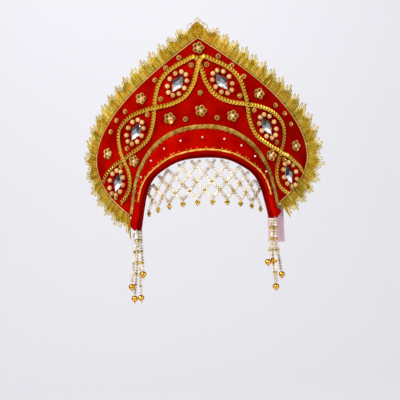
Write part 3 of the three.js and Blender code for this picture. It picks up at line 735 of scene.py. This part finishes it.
LACE_WIDTH, LACE_NOTCH, LACE_BODY = 24.6, 7.6, 12.4
LACE_TEETH, TOOTH_BODY, LOOPS_PER_TOOTH = 40, 5.0, 4
LACE_ROOT, LACE_WALL, LACE_RISE = 0.4, 0.35, 0.55
RIB_RELIEF, RIB_TURNS = 0.16, 2300
ROW_RELIEF, ROW_TURNS, ROW_WAVE, ROW_WAVE_TURNS = 0.14, 55, 3, 700
LOOP_LEAN, LOOP_ROOT, LOOP_THREAD = 2.6, 3.0, 0.34
APEX_CUT, APEX_CUT_REACH = 4.0, 5  # the loops at the apex are shorter, over this many millimetres
HALF_STEPS = 600
LEFT_EDGE = [edge_line(step / HALF_STEPS - 1) for step in range(HALF_STEPS)] + [APEX]
RIGHT_EDGE = [edge_line(step / HALF_STEPS) for step in range(HALF_STEPS + 1)]
EDGE_LENGTH = sum((after - before).length for line in (LEFT_EDGE, RIGHT_EDGE)
                  for before, after in zip(line, line[1:]))
LACE_STEPS = 2 * HALF_STEPS
LACE_LINE = evenly(LEFT_EDGE, HALF_STEPS)[:-1] + evenly(RIGHT_EDGE, HALF_STEPS)
LACE_SPREAD = 12  # steps over which the lace's direction turns at a corner
LEAST_MITRE = 0.7
LACE_FLARE_LEFT, LACE_FLARE_RIGHT = 0.05, 0.8  # 0 follows the crest's bend, 1 stands across
LACE_FAN = 0.07  # share of the left half over which the lace's end fans out downward


def lace_place(share, out, off):
    """Point of the lace: share of the edge's length, out from the edge, off the crest."""
    step = min(max(share, 0.0), 1.0) * LACE_STEPS
    row = min(int(step), LACE_STEPS - 1)
    place = LACE_LINE[row][0].lerp(LACE_LINE[row + 1][0], step - row)
    before = LACE_LINE[max(row - LACE_SPREAD, 0)][0]
    after = LACE_LINE[min(row + 1 + LACE_SPREAD, LACE_STEPS)][0]
    forward = (after - before).normalized()
    fan = eased((LACE_FAN - 2 * share) / LACE_FAN)
    side = Vector((-forward.y, forward.x)).lerp(Vector((0, -1)), fan).normalized()
    here = LACE_LINE[row][1]
    mitre = 1 / max(side.dot(Vector((-here.y, here.x))), LEAST_MITRE)
    reach = side * (out * mitre)
    flare = LACE_FLARE_LEFT if share < 0.5 else LACE_FLARE_RIGHT
    turn = place.x / BEND_RADIUS * (1 - flare)
    along_bend = Vector((cos(turn), sin(turn), 0))
    return on_crest(place.x, place.y, off) + along_bend * reach.x + Vector((0, 0, reach.y))


def tooth(share):
    """How far the lace reaches: 1 at the tip of a tooth, 0 in the notch between two."""
    return 1 - abs(2 * ((share * LACE_TEETH + 0.5) % 1.0) - 1)


def body_reach(share):
    """How wide the lace's close ground is."""
    return LACE_BODY + TOOTH_BODY * tooth(share)


def add_lace_body():
    """The lace's close ground: ribs of thread that cross the border, thicker and thinner."""
    def ground(u, v):
        wave = ROW_WAVE * sin(u * ROW_WAVE_TURNS)
        rib = RIB_RELIEF * sin(u * RIB_TURNS) + ROW_RELIEF * sin(v * ROW_TURNS + wave)
        return lace_place(u, LACE_ROOT + v * (body_reach(u) - LACE_ROOT), LACE_RISE + rib)

    cloth_piece("lace_body", ground, grid=(1500, 14), wall=LACE_WALL, rim=0.1,
                material=LACE_GROUND, slot="gold_lace", node="lace_border")


# One loop's outline, as shares of its half width and of its length
LOOP_OUTLINE = (
    (-0.35, 0), (-0.8, 0.3), (-1.0, 0.62), (-0.85, 0.86), (-0.4, 0.98), (0, 1), (0.4, 0.98),
    (0.85, 0.86), (1.0, 0.62), (0.8, 0.3), (0.35, 0),
)


def lace_loop(middle, root, reach, half, rise, splay):
    """One open loop of thread at the lace's outer edge."""
    return [lace_place(middle + (half * wide + splay * up) / EDGE_LENGTH,
                       root + up * (reach - root), rise) for wide, up in LOOP_OUTLINE]


def add_lace_loops():
    """Loops that fill each tooth, longest at its tip, and shorter ones over their roots."""
    random.seed(21)
    bright, dark = [], []
    count = LOOPS_PER_TOOTH * LACE_TEETH
    for i in range(count + 1):
        middle = i / count
        upright = LOOP_LEAN * copysign(1, 0.5 - middle) * min(abs(0.5 - middle) * 12, 1)
        if abs(2 * middle - 1) > SHOULDER_SHARE:
            upright = 0  # below the shoulders the loops stand square to the edge
        body = body_reach(middle)
        reach = LACE_WIDTH - LACE_NOTCH * (1 - tooth(middle)) + random.uniform(-0.8, 0.5)
        reach -= APEX_CUT * max(1 - abs(0.5 - middle) * EDGE_LENGTH / APEX_CUT_REACH, 0)
        splay = upright + random.uniform(-0.4, 0.4)
        rise = 0.9 + random.uniform(-0.3, 0.5)
        root = body - LOOP_ROOT
        long_loop = lace_loop(middle, root, reach, 1.35, rise, splay)
        (dark if i % 2 else bright).append(long_loop)
        inner_loop = lace_loop(middle, root, reach - 1.4, 0.7, rise + 0.2, splay)
        (bright if i % 2 else dark).append(inner_loop)
        between, low = middle + 0.5 / count, root - 1.0
        short_loop = lace_loop(between, low, body + 1.6, 1.1, rise + 0.6, splay * 0.5)
        (dark if random.random() < 0.5 else bright).append(short_loop)
    threads("lace_loops_bright", bright, LOOP_THREAD, LACE_THREAD, "gold_lace")
    threads("lace_loops_dark", dark, LOOP_THREAD, LACE_SHADE, "gold_lace")


BAR_PITCH, BAR_CRIMP, BAR_POINTS, BAR_THREAD, BAR_ROOT = 1.25, 0.62, 12, 0.33, 1.3
CORD_POINTS, CORD_THREAD = 1440, 0.34
# Short dark threads along the lace's inner edge: painted shadow, standing for the lace's holes
# there, which show dark
SHADOW_DOT_PITCH, SHADOW_DOT_HALF, SHADOW_DOT_THREAD = 3.1, 0.6, 0.5


def add_lace_threads():
    """Crimped threads across the ground, the corded inner edge, and short dark threads beside it
    as painted shadow in the lace's holes.
    """
    random.seed(22)
    shades = {"bright": [], "warm": [], "dark": []}
    bars = int(EDGE_LENGTH / BAR_PITCH)
    for i in range(bars):
        run = []
        middle = (i + 0.5) / bars
        top = body_reach(middle) - random.uniform(0.0, 1.4)
        drift = random.uniform(-1.6, 1.6)
        for step in range(BAR_POINTS):
            up = step / (BAR_POINTS - 1)
            crimp = (BAR_CRIMP if step % 2 else -BAR_CRIMP) + drift * (up - 0.5)
            weave = 0.95 + random.uniform(-0.25, 0.35)
            out = BAR_ROOT + up * (top - BAR_ROOT)
            run.append(lace_place(middle + crimp / EDGE_LENGTH, out, weave))
        shades[random.choice(("bright", "bright", "warm", "dark"))].append(run)
    for shade, material in (("bright", LACE_THREAD), ("warm", LACE_WARM), ("dark", LACE_SHADE)):
        threads(f"lace_weave_{shade}", shades[shade], BAR_THREAD, material, "gold_lace", sides=0)
    cord = []
    for step in range(CORD_POINTS + 1):
        scallop = 0.3 * abs(sin(step * pi * 0.14))
        cord.append(lace_place(step / CORD_POINTS, 0.45 + scallop, 1.15))
    threads("lace_cord", [cord], CORD_THREAD, LACE_CORD, "gold_lace")
    # Painted shadow: short dark threads where the lace's holes show dark
    shadow_dots = []
    count = int(EDGE_LENGTH / SHADOW_DOT_PITCH)
    for i in range(count):
        middle = (i + 0.5) / count
        half = SHADOW_DOT_HALF / EDGE_LENGTH
        shadow_dots.append([lace_place(middle - half, 1.9, 1.3), lace_place(middle + half, 2.2, 1.35)])
    threads("lace_shadow_dots", shadow_dots, SHADOW_DOT_THREAD, SHADOW_THREAD, "gold_lace")


# Braids

# The wave braids' places on the right half, as crest_place takes them, from the middle outward
OUTER_WAVE = (
    (0.025, 0.828), (0.07, 0.851), (0.12, 0.872), (0.16, 0.872), (0.19, 0.838), (0.212, 0.784),
    (0.24, 0.669), (0.268, 0.531), (0.302, 0.377), (0.365, 0.23), (0.43, 0.177), (0.512, 0.222),
    (0.588, 0.325), (0.618, 0.363), (0.665, 0.49), (0.723, 0.62), (0.763, 0.773), (0.8, 0.92),
)
INNER_WAVE = (
    (0.01, 0.676), (0.02, 0.616), (0.03, 0.549), (0.05, 0.489), (0.075, 0.437), (0.113, 0.408),
    (0.16, 0.412), (0.21, 0.45), (0.268, 0.531), (0.325, 0.628), (0.378, 0.711), (0.432, 0.747),
    (0.478, 0.731), (0.517, 0.657), (0.557, 0.554), (0.588, 0.458), (0.618, 0.363), (0.66, 0.255),
    (0.708, 0.168), (0.758, 0.122), (0.81, 0.14), (0.86, 0.276), (0.905, 0.6),
)
WAVE_CENTRE = (0.0, 0.74)
WAVE_CROSSINGS = ((0.0, 0.71), (0.268, 0.531), (0.618, 0.363))
WAVE_WIDTH, BRAID_WALL = 4.8, 1.2
SEQUIN_RADIUS, SEQUIN_PITCH, SEQUIN_LIFT = 2.85, 3.9, 1.3
SEQUIN_TURN, SEQUIN_TILT = radians(35), radians(26)
CROSSING_REACH, CROSSING_RAMP = 1.75 * WAVE_WIDTH, 5.0
ARCH_BRAID_SPAN, ARCH_BRAID_WIDTH, ARCH_BRAID_TAPER = 0.965, 5.0, 0.25
RIDGE_BRAID_SPAN, RIDGE_BRAID_WIDTH = 0.86, 2.8
PLAIT_PITCH, PLAIT_WALL, PLAIT_SEAT = 4.4, 0.3, GAP + 0.2


def mirrored(rows):
    return [(-along, out) for along, out in reversed(rows)]


CROSSINGS = [crest_place(sign * along, out) for along, out in WAVE_CROSSINGS for sign in (-1, 1)]


def climb(place):
    """How much higher the upper braid runs where the two cross."""
    nearest = min((crossing - place).length for crossing in CROSSINGS)
    return (BRAID_WALL + GAP) * eased(1 - (nearest - CROSSING_REACH) / CROSSING_RAMP)


def add_wave_braid(name, rows, node, rises):
    """A braid of cup sequins sewn one over the next."""
    seats = []
    tilt = (Matrix.Rotation(-SEQUIN_TURN, 3, "Z") @ Matrix.Rotation(SEQUIN_TILT, 3, "X")
            @ Matrix.Rotation(SEQUIN_TURN, 3, "Z"))
    for place, forward in evenly(smooth_line(rows), pitch=SEQUIN_PITCH):
        right, up, outward = crest_axes(place.x)
        ahead = right * forward.x + up * forward.y
        side = ahead.cross(outward)
        lift = GAP + SEQUIN_LIFT + (climb(place) if rises else 0)
        turned = Matrix((side, ahead, outward)).transposed() @ tilt
        seats.append(Matrix.Translation(on_crest(place.x, place.y, lift)) @ turned.to_4x4())
    # Painted light on each sequin: a painted highlight towards the given direction and painted
    # shade away from it
    bm = cups(seats, SEQUIN_RADIUS, depth=0.8, rim_share=0.42, hollow=0.42, rim=0.5,
              glow=(0.35, 0.5))
    finished(name, bm, SEQUIN_GOLD, "gold_braid", [node], smooth=False)


def plait(across, column):
    """Height of a flat plait: two rows of slanting strands that meet in the middle."""
    slant = column / PLAIT_PITCH + 1.1 * abs(across - 0.5)
    return abs(sin(pi * slant)) * (0.55 + 0.45 * sin(pi * across))


def add_arch_braid():
    """The plait along the joint of crest and band, narrower at the sides, its gold darkened as
    painted shade.
    """
    columns = 620

    def place(u, v):
        along = (2 * u - 1) * ARCH_BRAID_SPAN
        narrowing = 1 - ARCH_BRAID_TAPER * along * along
        spot = besides(arch_line, along, (v - 0.5) * ARCH_BRAID_WIDTH * narrowing)
        return on_crest(spot.x, spot.y, PLAIT_SEAT + 1.2 * plait(v, u * columns))

    cloth_piece("arch_plait", place, grid=(columns, 10), wall=PLAIT_WALL, rim=0.08,
                material=SHADED_BRAID, slot="dull_braid", node="arch_braid")


def add_ridge_braid():
    """The bright plait along the band's ridge."""
    columns = 520

    def place(u, v):
        along = (2 * u - 1) * RIDGE_BRAID_SPAN
        return on_band(along, v * RIDGE_BRAID_WIDTH - 0.2, PLAIT_SEAT + 1.1 * plait(v, u * columns))

    cloth_piece("ridge_plait", place, grid=(columns, 8), wall=PLAIT_WALL, rim=0.08,
                material=BRIGHT_BRAID, slot="gold_braid", node="ridge_braid", front=(0, -1, 0.6))


PICOT_POINTS, PICOT_THREAD, PICOT_STEP = 9, 0.26, 0.004
ARCH_PICOT_PLACE, RIDGE_PICOT_PLACE = -2.4, 3.3


def scattered(count, span, scatter):
    """Places from -span to span, each up to scatter steps away from its even place."""
    for i in range(count):
        yield -span + 2 * span * (i + 0.5 + random.uniform(-scatter, scatter)) / count


def picot(place, side, forward, outward, size):
    """A small thread loop that stands sideways from a braid."""
    run = []
    for step in range(PICOT_POINTS):
        turn = pi * (step / (PICOT_POINTS - 1) * 1.5 - 0.25)
        run.append(place + forward * (cos(turn) * size * 0.5)
                   + side * (size * 0.6 + sin(turn) * size * 0.6) + outward * 0.2)
    return run


def add_picots():
    """Thread loops along the arch braid's lower side and the ridge braid's upper side."""
    runs = []
    random.seed(11)
    for along in scattered(34, span=0.9, scatter=0.25):
        here = besides(arch_line, along, ARCH_PICOT_PLACE)
        after = besides(arch_line, along + PICOT_STEP, ARCH_PICOT_PLACE)
        forward = (after - here).normalized()
        inward = Vector((forward.y, -forward.x))
        right, up, outward = crest_axes(here.x)
        runs.append(picot(
            on_crest(here.x, here.y, 1.0), right * inward.x + up * inward.y,
            right * forward.x + up * forward.y, outward, random.uniform(1.1, 1.9)))
    threads("arch_picots", runs, PICOT_THREAD, SHADED_BRAID, "dull_braid")
    runs = []
    for along in scattered(30, span=0.84, scatter=0.3):
        here = on_band(along, RIDGE_PICOT_PLACE, 0.9)
        forward = (on_band(along + PICOT_STEP, RIDGE_PICOT_PLACE, 0.9) - here).normalized()
        side = (on_band(along, RIDGE_PICOT_PLACE + 1, 0.9) - here).normalized()
        runs.append(picot(here, side, forward, forward.cross(side), random.uniform(1.0, 1.8)))
    threads("ridge_picots", runs, PICOT_THREAD, BRIGHT_BRAID, "gold_braid")


def add_band_beads():
    """Small pale beads sewn along the middle of the band."""
    per_side, pitch, radius = 4, 0.17, 1.3
    bm = bmesh.new()
    for i in range(-per_side, per_side + 1):
        along = i * pitch
        bead(bm, on_band(along, 0.52 * band_length(along), 1.1), radius, around=10)
    finished("band_beads", bm, PALE_PEARL, "cream_pearl")


# Stones, pearl rings and flowers

SIDES = (("left", -1), ("right", 1))
STONE_LENGTH, STONE_WIDTH, STONE_GIRDLE, STONE_HEIGHT = 25.0, 14.0, 1.0, 4.0
STONE_BEVEL, TABLE_SHARE, SIDE_BOW = 0.5, 0.42, 1.07
# Painted reflections on the facets: a base tone, a swing towards the painted glint and a random
# scatter, with fixed painted tones for girdle and table
FACET_TONE, FACET_SWING, FACET_SCATTER, GIRDLE_TONE, TABLE_TONE = 0.42, 0.62, 0.16, 0.85, 0.62
PEARL_RADIUS, PEARLS_PER_RING, PEARL_SIDE, PEARL_END = 3.0, 10, 3.4, 2.9
# Name, place as crest_place takes it, lean outward, and the directions of the painted glints on the
# left and right ones
STONES = (
    ("upper", 0.12, 0.63, 35, (-60, 200)), ("middle", 0.427, 0.446, 31, (-60, -120)),
    ("lower", 0.782, 0.452, 18, (-60, -80)),
)
FLOWERS = (
    ("top", 0.0, 0.892), ("centre", 0.0, 0.178), ("edge", 0.3, 0.813), ("arch", 0.208, 0.23),
    ("side", 0.628, 0.735), ("temple", 0.6, 0.16),
)


def add_stone(node, place, lean, glint, seed):
    """A cut stone with painted reflections, its facets painted brightest towards the glint's
    direction, in degrees.
    """
    bm = bmesh.new()
    outline = bmesh.ops.create_circle(bm, cap_ends=True, segments=8, radius=1)["verts"]
    for corner in outline:
        angle = atan2(corner.co.y, corner.co.x)
        lozenge = 0.5 / (abs(cos(angle)) / STONE_WIDTH + abs(sin(angle)) / STONE_LENGTH)
        bow = SIDE_BOW if abs(sin(2 * angle)) > 0.5 else 1.0
        corner.co = Vector((cos(angle), sin(angle), 0)) * lozenge * bow
    base = outline[0].link_faces[0]
    if base.normal.z < 0:
        base.normal_flip()
    girdle = bmesh.ops.extrude_face_region(bm, geom=[base])["geom"]
    top = only(BMFace, girdle)[0]
    bmesh.ops.translate(bm, vec=(0, 0, STONE_GIRDLE), verts=top.verts)
    bmesh.ops.inset_region(bm, faces=[top], thickness=STONE_BEVEL)
    bmesh.ops.translate(bm, vec=(0, 0, STONE_BEVEL), verts=top.verts)
    crown = bmesh.ops.extrude_face_region(bm, geom=[top])["geom"]
    table = only(BMFace, crown)[0]
    bmesh.ops.scale(bm, vec=(TABLE_SHARE, TABLE_SHARE, 1), verts=table.verts)
    crown_height = STONE_HEIGHT - STONE_GIRDLE - STONE_BEVEL
    bmesh.ops.translate(bm, vec=(0, 0, crown_height), verts=table.verts)
    bmesh.ops.delete(bm, geom=[top], context="FACES_ONLY")
    bmesh.ops.recalc_face_normals(bm, faces=bm.faces)
    # Each facet's painted reflection, brightest towards the glint
    shade = bm.faces.layers.float.new("painted_reflection")
    random.seed(seed)
    glow = Vector((cos(radians(glint)), sin(radians(glint))))
    for face in bm.faces:
        middle = face.calc_center_median()
        scatter = random.uniform(-FACET_SCATTER, FACET_SCATTER)
        tone = FACET_TONE + FACET_SWING * glow.dot(Vector(middle[:2]).normalized()) + scatter
        if middle.z < STONE_GIRDLE + 0.6:
            tone = GIRDLE_TONE
        elif face.normal.z > 0.98:
            tone = TABLE_TONE
        face[shade] = min(max(tone, 0.0), 1.0)
    bmesh.ops.transform(bm, matrix=crest_matrix(place, GAP, lean), verts=bm.verts)
    finished(f"{node}_cut", bm, CRYSTAL, "crystal", [node], smooth=False)


def add_pearls(node, place, lean):
    bm = bmesh.new()
    across = STONE_WIDTH / 2 + PEARL_SIDE
    along = STONE_LENGTH / 2 + PEARL_END
    seat = crest_matrix(place, GAP, lean)
    for i in range(PEARLS_PER_RING):
        angle = pi / 2 + (i + 0.5) * 2 * pi / PEARLS_PER_RING
        spot = Vector((across * cos(angle), along * sin(angle), PEARL_RADIUS))
        bead(bm, seat @ spot, PEARL_RADIUS * 0.97, around=16)
    finished(f"{node}_round", bm, CREAM_PEARL, "cream_pearl", [node])


def add_stones():
    for row, (level, along, out, lean, glints) in enumerate(STONES):
        for (side, sign), glint in zip(SIDES, glints):
            place = crest_place(sign * along, out)
            add_stone(f"stone_{level}_{side}", place, -sign * lean, glint, seed=5 * row + sign)
            add_pearls(f"pearls_{level}_{side}", place, -sign * lean)


# The cups' glow is the direction, upper left, towards which the painted highlight on the flower and
# loose sequins' rims grows
CUP_RADIUS, CUP_PAINTED_LIGHT = 2.8, (-0.2, 0.2)
PETALS, PETAL_RING, PETAL_LIFT = 5, 4.2, 1.7
PETAL_TILT, FLOWER_TURN = radians(-14), 18
FLOWER_PEARL, FLOWER_PEARL_LIFT = 1.7, 1.9
LOOSE_LIFT, LOOSE_BEAD = 1.6, 1.0


def add_flower(node, place):
    """Five cup sequins round a pearl."""
    seats = []
    seat = crest_matrix(place, GAP, FLOWER_TURN)
    for i in range(PETALS):
        angle = pi / 2 + 2 * pi * i / PETALS
        across, up = cos(angle), sin(angle)
        spot = Matrix.Translation((PETAL_RING * across, PETAL_RING * up, PETAL_LIFT))
        tilt = Matrix.Rotation(PETAL_TILT, 4, Vector((-up, across, 0)))
        seats.append(seat @ spot @ tilt)
    bm = cups(seats, CUP_RADIUS, depth=1.2, rim_share=0.34, hollow=0.1, rim=0.75, glow=CUP_PAINTED_LIGHT)
    finished(f"{node}_cups", bm, FLOWER_GOLD, "gold_bead", [node], smooth=False)
    bm = bmesh.new()
    bead(bm, seat @ Vector((0, 0, FLOWER_PEARL_LIFT)), FLOWER_PEARL, around=14)
    finished(f"{node}_cups_pearl", bm, PALE_PEARL, "cream_pearl")


def add_flowers():
    for name, along, out in FLOWERS:
        if along == 0:
            add_flower(f"flower_{name}", crest_place(0, out))
            continue
        for side, sign in SIDES:
            add_flower(f"flower_{name}_{side}", crest_place(sign * along, out))


LOOSE_SEQUINS = (
    (0.095, 0.937), (0.158, 0.939), (0.215, 0.898), (0.04, 0.747), (0.22, 0.582), (0.315, 0.514),
    (0.39, 0.866), (0.448, 0.895), (0.51, 0.872), (0.542, 0.396), (0.672, 0.376), (0.878, 0.721),
    (0.105, 0.125),
)
MIDDLE_SEQUIN = (0, 0.383)


def add_loose_sequins():
    """Single cup sequins, each held by a small bead."""
    places = [crest_place(sign * along, out) for along, out in LOOSE_SEQUINS for sign in (-1, 1)]
    places.append(crest_place(*MIDDLE_SEQUIN))
    seats = [crest_matrix(place, GAP + LOOSE_LIFT) for place in places]
    bm = cups(seats, CUP_RADIUS, depth=1.3, rim_share=0.3, hollow=0.15, rim=0.8, glow=CUP_PAINTED_LIGHT)
    finished("loose_sequins", bm, FLOWER_GOLD, "gold_bead", smooth=False)
    bm = bmesh.new()
    for place in places:
        bead(bm, on_crest(place.x, place.y, 1.5), LOOSE_BEAD, around=10)
    finished("sequin_beads", bm, BALL_GOLD, "gold_bead")


# Bead net and bead strings

NET_RADIUS, HALF_PITCH, HALF_DIAMOND = 81.0, 9.0, 9.85
NET_BOTTOM, NET_SAG, NET_LAST_ROW, NET_HALF = 23.5, 11.5, 4, 9
NET_FRONT = on_facing(0, 1).y
NET_TOP_ROW, GOLD_ROWS = -3, (2, 3)
NET_BEAD, CROSSING_BEAD, BEAD_SQUASH, EDGE_ROOM = 2.3, 2.1, 0.72, 1.0
DROP_BEADS, DROP_BEAD = ((0, -2.4), (-1.7, -4.5), (1.7, -4.5), (0, -6.6)), 1.75


def on_net(way, z):
    """Point of the net, a distance way round the brow and at height z."""
    turn = way / NET_RADIUS
    return Vector((
        NET_RADIUS * sin(turn), NET_FRONT + NET_RADIUS - NET_RADIUS * cos(turn), z))


FREE_EDGE = [on_facing(step / 60, 1) for step in range(61)]


def free_edge_height(way):
    """Height of the facing's free edge, which the net hangs from."""
    x = NET_RADIUS * sin(abs(way) / NET_RADIUS)
    for before, after in zip(FREE_EDGE, FREE_EDGE[1:]):
        if after.x >= x:
            return before.lerp(after, (x - before.x) / (after.x - before.x)).z
    return FREE_EDGE[-1].z


def crossing(step, row):
    """Where two strands of the net cross, as distance round the brow and height."""
    way = step * HALF_PITCH
    sag = NET_SAG * (way / (NET_HALF * HALF_PITCH)) ** 2
    return Vector((way, NET_BOTTOM - sag + (NET_LAST_ROW - row) * HALF_DIAMOND))


def add_net():
    """Strands of three beads between crossings, cut off at the facing, with drops below."""
    white, gold, cords = bmesh.new(), bmesh.new(), []
    random.seed(4)

    def string_bead(bm, spot, size, lean=0.0):
        size *= random.uniform(0.95, 1.05)
        axis = Vector((lean, random.uniform(-0.3, 0.3), 1))
        bead(bm, on_net(spot.x, spot.y), size, BEAD_SQUASH, axis)

    for row in range(NET_TOP_ROW, NET_LAST_ROW + 1):
        for step in range(-NET_HALF, NET_HALF + 1):
            if (step + row) % 2 == 0:
                continue
            here = crossing(step, row)
            top = free_edge_height(here.x) - EDGE_ROOM - 0.2
            if here.y < top:
                string_bead(gold if row in GOLD_ROWS else white, here, CROSSING_BEAD)
            if row == NET_LAST_ROW:
                continue
            for way in (-1, 1):
                if abs(step + way) > NET_HALF:
                    continue
                there = crossing(step + way, row + 1)
                shown = []
                for i in (1, 2, 3):
                    spot = here.lerp(there, i / 4)
                    if spot.y < free_edge_height(spot.x) - EDGE_ROOM:
                        string_bead(white, spot, NET_BEAD, -way)
                        shown.append(spot)
                if shown:
                    start = here if here.y < top else shown[0].lerp(here, 0.4)
                    cords.append([on_net(*start), on_net(*there)])
    for step in range(-NET_HALF, NET_HALF + 1, 2):
        low = crossing(step, NET_LAST_ROW)
        for x, z in DROP_BEADS:
            bead(gold, on_net(low.x + x, low.y + z), DROP_BEAD)
    finished("net_beads", white, WHITE_BEAD, "white_bead", ["bead_net"])
    finished("net_gold_beads", gold, OLIVE_GOLD, "gold_bead")
    threads("net_cords", cords, 0.3, WHITE_BEAD, "white_bead", sides=0)


BALL_RADIUS, BUTTON_BEAD = 4.0, 1.3
STRING_PITCH, STRING_SPACING, FIRST_SPACE, STRING_CLEARANCE = 3.45, 3.6, 0.4, 1.2
STRING_BEAD_SIZES, STRING_SQUASH, GOLD_EVERY, STRING_POINTS = (1.95, 2.1), 0.78, 4, 40
# Where each string ends: sideways from the middle, forward or back, and height
STRING_ENDS = {
    "left": ((78.2, -13, -65), (92.6, -10, -80), (82.1, -6, -94), (90.1, -2, -95), (78.5, 1, -66)),
    "right": ((82.2, -11, -87), (73.7, -10, -57), (90.3, -4, -73), (80.8, -2, -56), (83.0, 5, -88)),
}


def add_strings():
    """The strings under each tip, side by side from the ridge to the back."""
    random.seed(9)
    _, ridge, free = section_corners(1)
    for side, sign in SIDES:
        for order, (x, y, z) in enumerate(STRING_ENDS[side]):
            back = (order + FIRST_SPACE) * STRING_SPACING
            drop = ridge.y + (free.y - ridge.y) * back / (ridge.x - free.x) - FACING_WALL / 2
            top = in_section(sign, ridge.x - back, drop) - Vector((0, 0, STRING_CLEARANCE))
            end = Vector((sign * x, y, z))
            bend = Vector((top.x + 0.35 * (end.x - top.x), top.y + 0.35 * (end.y - top.y),
                           top.z + 0.3 * (end.z - top.z)))
            line = [top * (1 - t) ** 2 + bend * (2 * t * (1 - t)) + end * t * t
                    for t in (step / STRING_POINTS for step in range(STRING_POINTS + 1))]
            add_string(f"string_{side}_{order + 1}", line, end)


def add_string(node, line, end):
    """White beads with a gold one among them, a gold ball and a small bead that holds it."""
    white, gold, ball = bmesh.new(), bmesh.new(), bmesh.new()
    for i, (place, forward) in enumerate(evenly(line, pitch=STRING_PITCH)[:-1]):
        if (end - place).length < BALL_RADIUS + 1:
            continue
        size = random.uniform(*STRING_BEAD_SIZES)
        shade = gold if i % GOLD_EVERY == GOLD_EVERY - 1 else white
        bead(shade, place, size, STRING_SQUASH, forward)
    bead(ball, end, BALL_RADIUS, around=20)
    bead(white, end - Vector((0, 0, BALL_RADIUS + 0.8)), BUTTON_BEAD)
    finished(f"{node}_beads", white, WHITE_BEAD, "white_bead", [node])
    finished(f"{node}_gold", gold, OLIVE_GOLD, "gold_bead")
    finished(f"{node}_ball", ball, BALL_GOLD, "gold_bead")
    threads(f"{node}_thread", [line], 0.25, WHITE_BEAD, "white_bead", sides=0)


# Ribbon tab

RIBBON_WIDTH, RIBBON_LENGTH, RIBBON_TOP = 20.0, 46.0, 12.0
RIBBON_SHIFT, RIBBON_CURL, RIBBON_WALL = 0.42, 0.5, 0.35


def add_ribbon():
    """The satin end behind the right bunch, hung from the facing."""
    seat = on_facing(1, 1, FACING_WALL / 2)

    def place(u, v):
        along = 2 * u - 1
        x = seat.x + RIBBON_WIDTH * (RIBBON_SHIFT + along / 2)
        curl = RIBBON_CURL * (1 - cos(2 * along + 2))
        y = seat.y + GAP + FACING_WALL / 4 + curl
        return Vector((x, y + GAP, RIBBON_TOP - RIBBON_LENGTH * v))

    ribbon = cloth_piece("satin_tab", place, grid=(14, 24), wall=RIBBON_WALL, rim=0.1,
                         material=PINK_SATIN, slot="pink_satin", node="ribbon_tab")


UNDER_ROWS = [*mirrored(OUTER_WAVE), WAVE_CENTRE, *INNER_WAVE]
OVER_ROWS = [*mirrored(INNER_WAVE), WAVE_CENTRE, *OUTER_WAVE]
add_crest()
add_band()
add_lace_body()
add_lace_loops()
add_lace_threads()
add_wave_braid("sequin_braid_under", UNDER_ROWS, "wave_braid_under", rises=False)
add_wave_braid("sequin_braid_over", OVER_ROWS, "wave_braid_over", rises=True)
add_arch_braid()
add_ridge_braid()
add_picots()
add_band_beads()
add_stones()
add_flowers()
add_loose_sequins()
add_net()
add_strings()
add_ribbon()
